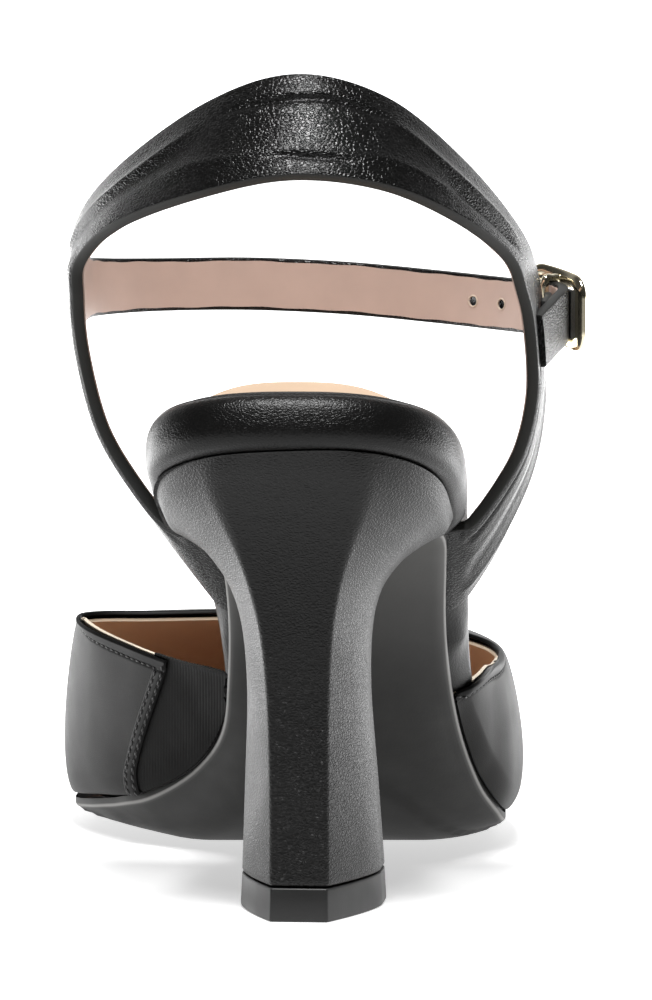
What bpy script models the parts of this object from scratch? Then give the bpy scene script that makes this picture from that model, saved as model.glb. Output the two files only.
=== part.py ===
"""Ankle strap pump, right foot, on a tall flared block heel.

Design space is in millimetres: +Y runs to the toe, +X to the outside of the foot, Z is up from the
floor, and Y is zero at the rear edge of the heel tip. Every mesh is written in metres about the
point on the floor under the middle of the shoe.
"""

import math
from collections import namedtuple

import bmesh
import bpy
import numpy as np

# Driving sizes, in millimetres
TOE_Y = 214.0
BALL_Y = 138.0
SEAT_BACK_Y = -7.5
SEAT_WIDEST_Y = 22.0
SEAT_FULLNESS = 2.7
BREAST_Y = 41.0
BREAST_SKEW_RUN = 24.0
TOE_TIP_X = -9.0
TOE_SQUARENESS = 1.8
TOE_FULLNESS = 0.7
OUTSOLE_THICK = 3.0
TREAD_EDGE_ROUND = 0.6
RIM_ROUND = 3.2
RIM_SQUARENESS = 1.4
SOCK_THICK = 1.2
SOCK_CROWN = 3.0
SOCK_INSET = 3.9
SOCK_EDGE_ROUND = 0.8
VAMP_WALL = 1.8
VAMP_LIFT = 0.2
TOE_ROOM = 3.6
GORE_WALL = 1.3
STRAP_THICK = 2.2
FRONT_STRAP_THICK = 2.1
FRONT_STRAP_WIDTH = 9.5
GAP = 0.3
FLAT_TREAD = 0.58
TIP_THICK = 6.0
HEEL_AXIS_X = -3.0
HEEL_YAW = math.radians(5.5)
FRAME_CENTRE = (0.7, 104.0)
MM = 0.001

# How finely the curved forms are divided
SLAB_COLUMNS = 9
RIM_STEPS = 6
VAMP_COLUMNS = 55
GORE_COLUMNS = 9
WALL_ROWS = 11
BAND_COLUMNS = 5
HEEL_SIDE_STEPS = 10
STEPS_PER_ROW = 3
SHARP_ANGLE = math.radians(40)

# Bottom of the last along its length: where the footbed meets heel and outsole
LineRow = namedtuple("LineRow", "y z slope")
BOTTOM_LINE = [
    LineRow(-8.0, 85.3, -0.385),
    LineRow(36.0, 68.4, -0.37),
    LineRow(108.0, 3.6, -0.11),
    LineRow(115.0, 3.0, 0.0),
    LineRow(152.0, 3.0, 0.0),
    LineRow(TOE_Y, 9.5, 0.20),
]

# Plan of the bottom behind the ball, and how far each edge rises above the middle
SoleRow = namedtuple(
    "SoleRow", "y out_medial out_lateral bed_medial bed_lateral rise_medial rise_lateral bed_thick"
)
SOLE_ROWS = [
    SoleRow(22.0, -24.0, 24.0, -29.6, 27.0, 0.0, 0.0, 10.0),
    SoleRow(31.0, -21.0, 24.0, -29.0, 27.5, 0.0, 0.0, 10.0),
    SoleRow(40.0, -18.4, 24.0, -26.4, 27.7, 0.0, 0.0, 9.8),
    SoleRow(50.0, -16.8, 24.0, -22.2, 28.0, 0.0, 0.0, 9.2),
    SoleRow(60.0, -16.0, 24.1, -18.8, 28.3, 0.0, 0.0, 8.6),
    SoleRow(70.0, -16.3, 25.2, -16.9, 28.3, 0.3, 0.4, 7.4),
    SoleRow(80.0, -17.6, 27.4, -17.4, 28.4, 2.0, 1.6, 5.8),
    SoleRow(90.0, -22.6, 31.0, -22.0, 29.8, 4.9, 1.6, 4.6),
    SoleRow(100.0, -30.3, 35.0, -28.6, 33.0, 5.8, 2.2, 4.0),
    SoleRow(110.0, -36.8, 36.4, -34.6, 34.4, 5.5, 2.4, 3.6),
    SoleRow(124.0, -44.0, 36.8, -40.3, 34.8, 3.7, 2.0, 3.5),
    SoleRow(BALL_Y, -47.2, 36.0, -43.1, 33.8, 2.4, 2.0, 3.5),
]

# Heel block, bottom to seat: rear height, sideways lean, rear and breast along the heel, widths,
# how round the section is and how far it is tipped towards the seat
HeelRow = namedtuple("HeelRow", "rear_z lean back front facet half_width roundness tilt")
HEEL_ROWS = [
    HeelRow(6.3, 0.2, 0.2, 35.0, 5.0, 12.5, 0.0, 0.0),
    HeelRow(22.0, 0.0, 1.6, 33.0, 5.0, 11.7, 0.0, 0.0),
    HeelRow(38.0, -0.3, 2.8, 31.2, 5.3, 10.9, 0.0, 0.0),
    HeelRow(50.0, -0.6, 3.0, 31.0, 6.2, 11.4, 0.0, 0.03),
    HeelRow(58.5, -0.9, 2.6, 31.8, 7.9, 13.2, 0.03, 0.09),
    HeelRow(65.5, -1.1, 1.7, 33.4, 10.2, 16.6, 0.08, 0.16),
    HeelRow(71.5, -1.3, 0.3, 35.6, 12.8, 20.4, 0.18, 0.24),
    HeelRow(76.5, -1.5, -1.4, 37.8, 15.0, 23.4, 0.35, 0.31),
    HeelRow(80.5, -1.6, -3.2, 39.8, 16.6, 25.2, 0.65, 0.36),
    HeelRow(84.3, -1.6, -4.6, 41.0, 17.6, 26.4, 1.0, 0.37),
]
HEEL_WIDEST_AT = 0.66
HEEL_SEAT_GAP = 0.6
FACET_SHARE = 0.2
SIDE_BOW = 1.5

# Front corner of a heel section, as shares of its half width and of its run from the widest line
BreastRow = namedtuple("BreastRow", "across along")
BREAST_CORNER = [
    BreastRow(1.0, 0.5),
    BreastRow(0.985, 0.8),
    BreastRow(0.93, 0.95),
    BreastRow(0.84, 1.0),
    BreastRow(0.42, 1.0),
    BreastRow(0.0, 1.0),
]

# Vamp from its medial end round the toe to its lateral end: side of the sole, place of the lower
# edge along the shoe and how far it stands out from the sole, top line, swell and roof roundness
VampRow = namedtuple("VampRow", "side foot_y foot_out top_x top_y top_z swell rounding")
MEDIAL = -1
LATERAL = 1
VAMP_ROWS = [
    VampRow(MEDIAL, 74.5, 2.2, -19.8, 74.0, 37.0, 0.3, 3.2),
    VampRow(MEDIAL, 84.0, 1.8, -23.2, 84.5, 36.6, 0.9, 3.2),
    VampRow(MEDIAL, 95.0, 1.6, -30.2, 94.8, 37.4, 1.6, 3.2),
    VampRow(MEDIAL, 107.0, 1.4, -38.2, 105.0, 39.3, 2.2, 3.2),
    VampRow(MEDIAL, 121.0, 1.0, -44.6, 114.5, 41.0, 1.6, 2.8),
    VampRow(MEDIAL, 138.0, 0.6, -45.8, 121.5, 42.2, 1.5, 2.7),
    VampRow(MEDIAL, 158.0, 0.6, -41.5, 126.3, 42.4, 1.8, 2.6),
    VampRow(MEDIAL, 182.0, 0.6, -32.0, 128.0, 42.3, 1.8, 2.3),
    VampRow(MEDIAL, 203.0, 0.6, -18.5, 127.6, 42.6, 1.4, 2.0),
    VampRow(MEDIAL, TOE_Y, 0.6, -6.0, 126.2, 42.9, 1.0, 1.9),
    VampRow(LATERAL, 203.0, 0.6, 6.0, 124.2, 42.5, 1.4, 2.0),
    VampRow(LATERAL, 182.0, 0.6, 16.5, 121.6, 41.7, 1.8, 2.3),
    VampRow(LATERAL, 158.0, 0.6, 25.6, 118.0, 40.2, 2.2, 2.7),
    VampRow(LATERAL, 136.0, 0.8, 32.4, 112.8, 38.8, 2.4, 3.0),
    VampRow(LATERAL, 117.0, 1.0, 35.4, 105.5, 37.6, 2.4, 3.2),
    VampRow(LATERAL, 100.0, 1.2, 35.4, 97.0, 36.6, 1.8, 3.2),
    VampRow(LATERAL, 88.0, 2.4, 33.9, 87.0, 35.6, 1.1, 3.2),
    VampRow(LATERAL, 78.0, 4.0, 31.6, 77.5, 34.6, 0.3, 3.2),
]
VampColumn = namedtuple("VampColumn", "foot_x foot_y foot_z top_x top_y top_z out_x out_y swell rounding")
SWELL_SPAN = 0.9
GORE_SEAM_FOOT = 2.72
GORE_SEAM_TOP = 1.5
GORE_SEAM_GAP = 0.04

# Ankle band between its two feet, from the medial side round the back to the lateral side, along the
# middle of its thickness: its rear edge, which turns into the lower edge, and its front, upper edge
BandRow = namedtuple("BandRow", "rear_x rear_y rear_z front_x front_y front_z")
BAND_ROWS = [
    BandRow(-32.8, 42.0, 75.0, -30.4, 60.5, 66.0),
    BandRow(-38.6, 41.0, 85.0, -38.0, 60.5, 79.0),
    BandRow(-42.1, 40.0, 98.0, -43.0, 61.0, 95.0),
    BandRow(-43.2, 38.5, 108.0, -44.2, 61.0, 109.0),
    BandRow(-42.5, 36.0, 115.2, -43.6, 56.0, 120.6),
    BandRow(-34.8, 23.5, 122.2, -35.0, 37.5, 131.4),
    BandRow(-19.5, 12.2, 128.0, -18.5, 24.8, 142.6),
    BandRow(-4.0, 8.0, 131.0, -3.0, 20.0, 148.4),
    BandRow(12.0, 10.4, 129.2, 12.5, 22.8, 143.2),
    BandRow(25.2, 18.0, 123.4, 26.0, 31.0, 133.0),
    BandRow(34.4, 29.0, 116.2, 36.0, 43.5, 120.8),
    BandRow(37.4, 36.0, 109.2, 39.7, 53.6, 112.4),
    BandRow(38.9, 40.0, 102.0, 41.2, 60.0, 102.0),
    BandRow(39.2, 41.5, 91.0, 41.3, 61.0, 87.5),
    BandRow(37.2, 42.5, 81.0, 39.3, 61.0, 75.0),
    BandRow(32.4, 43.5, 73.6, 34.2, 61.0, 62.5),
]

# Where the band's feet pass under the rim
FOOT_REAR_Y = 43.5
FOOT_FRONT_Y = 60.5
FOOT_TUCK_OUT = 0.6
FOOT_CORNER_OUT = 0.9
FOOT_CORNER_DROP = 0.7
FOOT_SIDE_HEIGHT = 4.6
FOOT_CLEAR = STRAP_THICK / 2 + 3 * GAP

# Middle line of the front strap, from the band's medial bend through the buckle to its tip
StrapRow = namedtuple("StrapRow", "x y z width")
FRONT_STRAP_ROWS = [
    StrapRow(-43.7, 53.0, 109.2, 17.0),
    StrapRow(-44.5, 61.0, 109.0, 16.0),
    StrapRow(-43.6, 67.0, 108.7, 11.6),
    StrapRow(-39.6, 76.0, 108.5, 10.2),
    StrapRow(-29.0, 85.5, 108.4, FRONT_STRAP_WIDTH),
    StrapRow(-12.0, 90.8, 108.3, FRONT_STRAP_WIDTH),
    StrapRow(6.0, 90.4, 107.5, FRONT_STRAP_WIDTH),
    StrapRow(22.5, 85.2, 106.2, FRONT_STRAP_WIDTH),
    StrapRow(33.6, 76.8, 105.4, FRONT_STRAP_WIDTH),
    StrapRow(40.1, 69.1, 105.1, FRONT_STRAP_WIDTH),
    StrapRow(45.4, 65.1, 105.0, FRONT_STRAP_WIDTH),
    StrapRow(46.9, 58.8, 104.3, FRONT_STRAP_WIDTH),
    StrapRow(45.2, 52.8, 102.6, FRONT_STRAP_WIDTH),
    StrapRow(42.7, 47.0, 100.8, FRONT_STRAP_WIDTH),
]

FRONT_STRAP_PARTS = (-0.5, 0.0, 0.5)

# Buckle: a domed frame with a middle bar, standing across the front strap
BUCKLE_MIDDLE = (44.6, 64.6, 105.0)
BUCKLE_TURN = math.radians(-57.0)
BUCKLE_LONG = 12.6
BUCKLE_TALL = 11.6
BUCKLE_CORNER = 2.2
BUCKLE_WIRE = 1.1
BUCKLE_STAND = 1.5
BUCKLE_DOME = 1.2
BUCKLE_BAR = 0.8
BUCKLE_BAR_DEEP = -1.4
PRONG_WIRE = 0.7
PRONG_TAIL = 0.6
PRONG_STAND = 3.0
PRONG_CROWN = 3.3
PRONG_NOSE = 0.9
TAB_THICK = 1.5
TAB_WIDTH = 7.0
TAB_DROP = 0.6

# The tab from the band to the middle bar, along the strap and out from it
TabRow = namedtuple("TabRow", "along out")
TAB_ROWS = [
    TabRow(8.8, -8.4),
    TabRow(6.0, -5.6),
    TabRow(3.5, -3.0),
    TabRow(1.4, -1.7),
]


def bottom_height(y):
    """Height of the bottom line, a Hermite curve through its rows."""
    below = BOTTOM_LINE[0]
    above = BOTTOM_LINE[1]
    for first, second in zip(BOTTOM_LINE, BOTTOM_LINE[1:]):
        if y >= first.y:
            below, above = first, second
    span = above.y - below.y
    t = (y - below.y) / span
    start = (1 + 2 * t) * (1 - t) ** 2 * below.z + t * (1 - t) ** 2 * span * below.slope
    end = t * t * (3 - 2 * t) * above.z + t * t * (t - 1) * span * above.slope
    return start + end


def smooth_row(rows, at):
    """Catmull-Rom reading of a table at a fractional row number, every column at once."""
    table = np.array(rows, dtype=float)
    last = len(table) - 1
    i = int(min(max(math.floor(at), 0), last - 1))
    t = at - i
    p0 = table[max(i - 1, 0)]
    p1 = table[i]
    p2 = table[i + 1]
    p3 = table[min(i + 2, last)]
    bend = 2 * p0 - 5 * p1 + 4 * p2 - p3
    return type(rows[0])(*(p1 + 0.5 * t * ((p2 - p0) + t * (bend + t * (3 * (p1 - p2) + p3 - p0)))))


def sole_row(y):
    """The sole table read at a distance along the shoe, held at its end rows outside it."""
    ys = [row.y for row in SOLE_ROWS]
    return smooth_row(SOLE_ROWS, float(np.interp(y, ys, range(len(ys)))))


def sole_frame(y):
    """Point of the bottom line and its upward normal, as (y, z) pairs."""
    step = 0.05
    slope = (bottom_height(y + step) - bottom_height(y - step)) / (2 * step)
    size = math.hypot(slope, 1.0)
    return (y, bottom_height(y)), (-slope / size, 1.0 / size)


def toe_share(y):
    """Share of the ball's width that is left at a place in front of the ball."""
    part = min(max((y - BALL_Y) / (TOE_Y - BALL_Y), 0.0), 1.0)
    return (1.0 - part ** TOE_SQUARENESS) ** TOE_FULLNESS


def seat_back(y):
    """0 at the widest line of the seat, 1 at its back."""
    return min(max((SEAT_WIDEST_Y - y) / (SEAT_WIDEST_Y - SEAT_BACK_Y), 0.0), 1.0)


def seat_share(y):
    """Share of the seat's width that is left at a place behind its widest line."""
    return (1.0 - seat_back(y) ** SEAT_FULLNESS) ** (1.0 / SEAT_FULLNESS)


def seat_draw(y):
    """How much of an inset draws the seat's outline forward rather than sideways."""
    behind = seat_back(y) ** (SEAT_FULLNESS - 1.0)
    beside = seat_share(y) ** (SEAT_FULLNESS - 1.0)
    return behind / math.hypot(behind, beside)


def heel_centre_x(y):
    return HEEL_AXIS_X + y * math.tan(HEEL_YAW)


def plan_edges(y, medial, lateral):
    """Edges of the bottom's plan at y, closed round the toe and the heel seat."""
    if y > BALL_Y:
        part = (y - BALL_Y) / (TOE_Y - BALL_Y)
        ball_middle = (medial + lateral) / 2
        middle = ball_middle + (TOE_TIP_X - ball_middle) * part * part
        half = (lateral - medial) / 2 * toe_share(y)
        return middle - half, middle + half
    if y < SEAT_WIDEST_Y:
        widest = heel_centre_x(SEAT_WIDEST_Y)
        middle = heel_centre_x(y)
        share = seat_share(y)
        return middle + (medial - widest) * share, middle + (lateral - widest) * share
    return medial, lateral


def outsole_edges(y):
    row = sole_row(y)
    return row.out_medial, row.out_lateral


def footbed_edges(y):
    row = sole_row(y)
    return row.bed_medial, row.bed_lateral


def edge_rise(y, across):
    """Height of the bottom over its flat middle, across running from -1 to 1."""
    row = sole_row(y)
    rise = row.rise_medial if across < 0 else row.rise_lateral
    outer = max(0.0, (abs(across) - FLAT_TREAD) / (1.0 - FLAT_TREAD))
    return rise * toe_share(y) * outer * outer


def on_sole(edges, y, across, height, inset=0.0, toe_room=0.0):
    """Point at a height over the bottom line, across running from -1 medial to 1 lateral.

    An inset draws the whole plan in, at the sides and at the round ends alike, and toe_room
    draws the toe back by itself.
    """
    full_medial, full_lateral = edges(y)
    medial, lateral = plan_edges(y, full_medial, full_lateral)
    middle = (medial + lateral) / 2
    half = (lateral - medial) / 2
    drawn_in = 1.0 - 2.0 * inset / (full_lateral - full_medial)
    x = middle + across * half * drawn_in
    lift = height + edge_rise(y, across)
    y += inset * (toe_share(y) - 1.0 + seat_draw(y)) - toe_room * (1.0 - toe_share(y))
    (line_y, line_z), (normal_y, normal_z) = sole_frame(y)
    return x, line_y + normal_y * lift, line_z + normal_z * lift


def material(name, colour, roughness, metallic=0.0):
    surface = bpy.data.materials.new(name)
    surface.use_nodes = True
    shader = surface.node_tree.nodes["Principled BSDF"]
    shader.inputs["Base Color"].default_value = (*colour, 1.0)
    shader.inputs["Roughness"].default_value = roughness
    shader.inputs["Metallic"].default_value = metallic
    return surface


def to_metres(point):
    x, y, z = point
    return (x - FRAME_CENTRE[0]) * MM, (y - FRAME_CENTRE[1]) * MM, z * MM


def add_object(name, data, surface, collection):
    obj = bpy.data.objects.new(name, data)
    data.materials.append(surface)
    collection.objects.link(obj)
    return obj


def add_mesh(name, points, faces, surface, collection):
    """A mesh from a grid's points and faces, facing outwards."""
    mesh = bpy.data.meshes.new(name)
    mesh.from_pydata([to_metres(p) for p in points], [], faces)
    work = bmesh.new()
    work.from_mesh(mesh)
    bmesh.ops.remove_doubles(work, verts=work.verts, dist=1e-6)
    bmesh.ops.recalc_face_normals(work, faces=work.faces)
    work.to_mesh(mesh)
    work.free()
    mesh.shade_smooth()
    mesh.set_sharp_from_angle(angle=SHARP_ANGLE)
    return add_object(name, mesh, surface, collection)


def slab(name, form, ys, levels, surface, collection):
    """Closed slab: form(y, across, height, inset) over stations ys and a pile of levels."""
    across = np.linspace(-1.0, 1.0, SLAB_COLUMNS)
    rows = len(ys)
    cols = SLAB_COLUMNS
    points = []
    for height, inset in levels:
        for y in ys:
            points += [form(y, a, height, inset) for a in across]

    def at(level, i, j):
        return (level * rows + i) * cols + j

    top = len(levels) - 1
    faces = []
    for i in range(rows - 1):
        for j in range(cols - 1):
            faces.append((at(0, i, j), at(0, i + 1, j), at(0, i + 1, j + 1), at(0, i, j + 1)))
            faces.append((at(top, i, j), at(top, i, j + 1), at(top, i + 1, j + 1), at(top, i + 1, j)))
    for k in range(top):
        for i in range(rows - 1):
            for j in (0, cols - 1):
                faces.append((at(k, i, j), at(k, i + 1, j), at(k + 1, i + 1, j), at(k + 1, i, j)))
        for j in range(cols - 1):
            for i in (0, rows - 1):
                faces.append((at(k, i, j), at(k, i, j + 1), at(k + 1, i, j + 1), at(k + 1, i, j)))
    return add_mesh(name, points, faces, surface, collection)


def eased(first, last, count, ease_first, ease_last):
    """Stations from first to last, closing up at an end that is rounded."""
    parts = np.linspace(0.0, 1.0, count)
    if ease_first and ease_last:
        parts = 0.5 - 0.5 * np.cos(math.pi * parts)
    elif ease_last:
        parts = np.sin(0.5 * math.pi * parts)
    elif ease_first:
        parts = 1.0 - np.cos(0.5 * math.pi * parts)
    return [first + (last - first) * float(p) for p in parts]


def outsole_stations():
    """Stations from the heel breast to the toe, close together where the toe is round."""
    waist = eased(BREAST_Y + 2 * GAP, BALL_Y, 15, False, False)
    return waist + eased(BALL_Y, TOE_Y, 9, False, True)[1:]


def footbed_stations():
    """The heel seat's stations in front of the outsole's own, so that the layers meet evenly."""
    return eased(SEAT_BACK_Y, BREAST_Y + 2 * GAP, 9, True, False)[:-1] + outsole_stations()


def build_outsole(surface, collection):
    def form(y, across, height, inset):
        near_breast = max(0.0, 1.0 - (y - BREAST_Y) / BREAST_SKEW_RUN)
        x, _, _ = on_sole(outsole_edges, y, across, height, inset)
        along = y - (x - heel_centre_x(y)) * math.tan(HEEL_YAW) * near_breast
        return on_sole(outsole_edges, along, across, height, inset)

    tread = -OUTSOLE_THICK
    levels = [(tread, TREAD_EDGE_ROUND), (tread + TREAD_EDGE_ROUND, 0.0), (-GAP, 0.0)]
    slab("outsole", form, outsole_stations(), levels, surface, collection)


def build_footbed(surface, collection):
    def form(y, across, part, inset):
        height = sole_row(y).bed_thick * part
        return on_sole(footbed_edges, y, across, height, inset, TOE_ROOM)

    levels = []
    for step in range(RIM_STEPS + 1):
        angle = math.pi * (step / RIM_STEPS - 0.5)
        part = 0.5 + 0.5 * math.sin(angle)
        levels.append((part, RIM_ROUND * (1.0 - math.cos(angle)) ** RIM_SQUARENESS))
    slab("footbed", form, footbed_stations(), levels, surface, collection)


def build_sock(surface, collection):
    def form(y, across, part, inset):
        to_breast = min(1.0, max(0.0, y / BREAST_Y))
        crown = SOCK_CROWN * (1.0 - across * across) * seat_share(y) * (1.0 - to_breast)
        height = GAP + part * (SOCK_THICK + crown)
        return on_sole(footbed_edges, y, across, sole_row(y).bed_thick + height, inset, TOE_ROOM)

    levels = [(0.0, SOCK_INSET), (0.6, SOCK_INSET), (1.0, SOCK_INSET + SOCK_EDGE_ROUND)]
    slab("sock", form, footbed_stations(), levels, surface, collection)


def heel_outline(row):
    """Half of a heel section from the middle of its back to the middle of its breast.

    Pairs of (across, along): a flat rear facet with a slanting side facet low down, a round
    horseshoe at the seat, and a blend of the two between them.
    """
    length = row.front - row.back
    widest = row.back + HEEL_WIDEST_AT * length
    points = []
    for step in range(HEEL_SIDE_STEPS + 1):
        part = step / HEEL_SIDE_STEPS
        angle = part * math.pi / 2
        round_x = row.half_width * math.sin(angle) ** (2.0 / SEAT_FULLNESS)
        round_y = widest - (widest - row.back) * max(0.0, math.cos(angle)) ** (2.0 / SEAT_FULLNESS)
        if part <= FACET_SHARE:
            flat_x = row.facet * part / FACET_SHARE
            flat_y = row.back
        else:
            run = (part - FACET_SHARE) / (1.0 - FACET_SHARE)
            flat_x = row.facet + (row.half_width - row.facet) * (1.0 - (1.0 - run) ** SIDE_BOW)
            flat_y = row.back + (widest - row.back) * run
        points.append((
            flat_x + (round_x - flat_x) * row.roundness,
            flat_y + (round_y - flat_y) * row.roundness,
        ))
    for corner in BREAST_CORNER:
        points.append((row.half_width * corner.across, widest + (row.front - widest) * corner.along))
    return points


def heel_point(across, along, z):
    x = HEEL_AXIS_X + across * math.cos(HEEL_YAW) + along * math.sin(HEEL_YAW)
    return x, along * math.cos(HEEL_YAW) - across * math.sin(HEEL_YAW), z


def build_heel_block(surface, collection):
    rings = []
    steps = STEPS_PER_ROW * (len(HEEL_ROWS) - 1)
    for step in range(steps + 1):
        row = smooth_row(HEEL_ROWS, step / STEPS_PER_ROW)
        half = heel_outline(row)
        ring = []
        for side, outline in ((-1, half), (1, half[-2:0:-1])):
            for across, along in outline:
                level = row.rear_z - row.tilt * (along - row.back)
                x, y, z = heel_point(side * across + row.lean, along, level)
                ring.append((x, y, min(z, bottom_height(y) - HEEL_SEAT_GAP)))
        rings.append(ring)
    count = len(rings[0])
    points = [p for ring in rings for p in ring]
    faces = []
    for k in range(steps):
        for i in range(count):
            j = (i + 1) % count
            faces.append((k * count + i, k * count + j, (k + 1) * count + j, (k + 1) * count + i))
    for base in (0, steps * count):
        for i in range(count // 2):
            corners = [i, i + 1, count - i - 1, (count - i) % count]
            faces.append([base + corner for corner in dict.fromkeys(corners)])
    add_mesh("heel_block", points, faces, surface, collection)


def build_heel_tip(surface, collection):
    half = heel_outline(HEEL_ROWS[0])
    outline = [(-a, b) for a, b in half] + [(a, b) for a, b in half[-2:0:-1]]
    curve = bpy.data.curves.new("heel_tip", "CURVE")
    curve.dimensions = "2D"
    curve.fill_mode = "BOTH"
    curve.extrude = TIP_THICK / 2 * MM
    spline = curve.splines.new("POLY")
    spline.points.add(len(outline) - 1)
    spline.use_cyclic_u = True
    for point, (across, along) in zip(spline.points, outline):
        x, y, z = to_metres(heel_point(across + HEEL_ROWS[0].lean, along, 0.0))
        point.co = (x, y, z, 1.0)
    obj = add_object("heel_tip", curve, surface, collection)
    obj.location.z = TIP_THICK / 2 * MM
    return obj


def vamp_columns():
    """Lower edge point, top line point, swell and rounding for each row of the vamp table."""
    columns = []
    for row in VAMP_ROWS:
        y = min(row.foot_y, TOE_Y - 0.01)
        x, _, z = on_sole(outsole_edges, y, row.side, VAMP_LIFT)
        lead = (y - BALL_Y) / (TOE_Y - BALL_Y) if y > BALL_Y else 0.0
        out_x = row.side * math.sqrt(max(0.0, 1.0 - lead ** 4))
        out_y = lead * lead
        foot = (x + out_x * row.foot_out, y + out_y * row.foot_out, z)
        top = (row.top_x, row.top_y, row.top_z)
        columns.append(VampColumn(*foot, *top, out_x, out_y, row.swell, row.rounding))
    return columns


def vamp_point(columns, at, rise):
    """Outside of the vamp at a fractional column, rise running from its lower edge to its top line."""
    column = smooth_row(columns, at)
    angle = rise * math.pi / 2
    power = 2.0 / column.rounding
    over = 1.0 - math.cos(angle) ** power
    up = math.sin(angle) ** power
    swell = column.swell * math.sin(math.pi * SWELL_SPAN * up)
    x = column.foot_x + (column.top_x - column.foot_x) * over + column.out_x * swell
    y = column.foot_y + (column.top_y - column.foot_y) * over + column.out_y * swell
    z = column.foot_z + (column.top_z - column.foot_z) * up
    return x, y, z


def grid_faces(rows, cols):
    faces = []
    for i in range(rows - 1):
        for j in range(cols - 1):
            faces.append((i * cols + j, i * cols + j + 1, (i + 1) * cols + j + 1, (i + 1) * cols + j))
    return faces


def add_wall(name, points, rows, cols, thickness, offset, surface, collection):
    """A wall of even thickness on an open grid: offset -1 grows it against the faces' normals."""
    mesh = bpy.data.meshes.new(name)
    mesh.from_pydata([to_metres(p) for p in points], [], grid_faces(rows, cols))
    mesh.shade_smooth()
    mesh.set_sharp_from_angle(angle=SHARP_ANGLE)
    obj = add_object(name, mesh, surface, collection)
    wall = obj.modifiers.new("wall", "SOLIDIFY")
    wall.thickness = thickness * MM
    wall.offset = offset
    return obj


def gore_seam(rise):
    """Column where the elastic gore meets the leather, leaning evenly with the wall's height."""
    height = math.sin(rise * math.pi / 2) ** (2.0 / VAMP_ROWS[0].rounding)
    return GORE_SEAM_FOOT + (GORE_SEAM_TOP - GORE_SEAM_FOOT) * height


def vamp_wall(name, columns, first, last, cols, thickness, surface, collection):
    """Part of the vamp between two column functions, as a wall that grows inwards."""
    rises = eased(0.0, 1.0, WALL_ROWS, False, True)
    points = []
    for rise in rises:
        for step in range(cols):
            at = first(rise) + (last(rise) - first(rise)) * step / (cols - 1)
            points.append(vamp_point(columns, at, rise))
    add_wall(name, points, len(rises), cols, thickness, 1.0, surface, collection)


def build_vamp(surface, gore_surface, collection):
    columns = vamp_columns()

    def medial_end(rise):
        return 0.0

    def lateral_end(rise):
        return len(columns) - 1

    def gore_front(rise):
        return gore_seam(rise) - GORE_SEAM_GAP

    vamp_wall("vamp", columns, gore_seam, lateral_end, VAMP_COLUMNS, VAMP_WALL, surface, collection)
    vamp_wall("elastic_gore", columns, medial_end, gore_front, GORE_COLUMNS, GORE_WALL, gore_surface,
              collection)


def band_foot(side):
    """Rows where the band hugs the footbed: under its rim beside the outsole, its corner, its side."""
    spots = (
        (outsole_edges, FOOT_TUCK_OUT, -FOOT_CLEAR),
        (footbed_edges, FOOT_CORNER_OUT, -FOOT_CORNER_DROP),
        (footbed_edges, FOOT_CLEAR, FOOT_SIDE_HEIGHT),
    )
    rows = []
    for edges, out, height in spots:
        corners = []
        for y in (FOOT_REAR_Y, FOOT_FRONT_Y):
            x, along, z = on_sole(edges, y, side, height)
            corners += [x + side * out, along, z]
        rows.append(BandRow(*corners))
    return rows


def band_points():
    table = band_foot(MEDIAL) + BAND_ROWS + band_foot(LATERAL)[::-1]
    rows = STEPS_PER_ROW * (len(table) - 1) + 1
    points = []
    for step in range(rows):
        row = np.array(smooth_row(table, step / STEPS_PER_ROW))
        for part in np.linspace(0.0, 1.0, BAND_COLUMNS):
            points.append(tuple(row[:3] + (row[3:] - row[:3]) * part))
    return points, rows


def front_strap_points():
    rows = STEPS_PER_ROW * (len(FRONT_STRAP_ROWS) - 1) + 1
    middle = [np.array(smooth_row(FRONT_STRAP_ROWS, step / STEPS_PER_ROW)) for step in range(rows)]
    points = []
    for i, row in enumerate(middle):
        ahead = middle[min(i + 1, rows - 1)][:3] - middle[max(i - 1, 0)][:3]
        ahead /= np.linalg.norm(ahead)
        up = np.array((0.0, 0.0, 1.0))
        up = up - ahead * float(up @ ahead)
        up /= np.linalg.norm(up)
        for part in FRONT_STRAP_PARTS:
            points.append(tuple(row[:3] + up * row[3] * part))
    return points, rows


def build_ankle_band(surface, collection, guides):
    points, rows = band_points()
    band = add_wall("ankle_band", points, rows, BAND_COLUMNS, STRAP_THICK, 0.0, surface, collection)
    points, rows = front_strap_points()
    cols = len(FRONT_STRAP_PARTS)
    strap = add_wall("front_strap_form", points, rows, cols, FRONT_STRAP_THICK, 0.0, surface, guides)
    strap.hide_render = True
    strap.display_type = "WIRE"
    join = band.modifiers.new("front strap", "BOOLEAN")
    join.operation = "UNION"
    join.object = strap


def buckle_point(along, out, up):
    """Buckle space to design space: along the strap to the rear, out from the ankle, and up."""
    direction = (math.cos(BUCKLE_TURN), math.sin(BUCKLE_TURN))
    outward = (-direction[1], direction[0])
    x = BUCKLE_MIDDLE[0] + direction[0] * along + outward[0] * out
    y = BUCKLE_MIDDLE[1] + direction[1] * along + outward[1] * out
    return x, y, BUCKLE_MIDDLE[2] + up


def dome(along):
    """How far the frame stands out from the strap's middle line."""
    return BUCKLE_STAND + BUCKLE_DOME * (1.0 - (2.0 * along / BUCKLE_LONG) ** 2)


def tube(name, path, wire, closed, surface, collection):
    curve = bpy.data.curves.new(name, "CURVE")
    curve.dimensions = "3D"
    curve.bevel_depth = wire * MM
    curve.bevel_resolution = 2
    curve.use_fill_caps = True
    spline = curve.splines.new("POLY")
    spline.points.add(len(path) - 1)
    spline.use_cyclic_u = closed
    for point, place in zip(spline.points, path):
        point.co = (*to_metres(place), 1.0)
    return add_object(name, curve, surface, collection)


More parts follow.
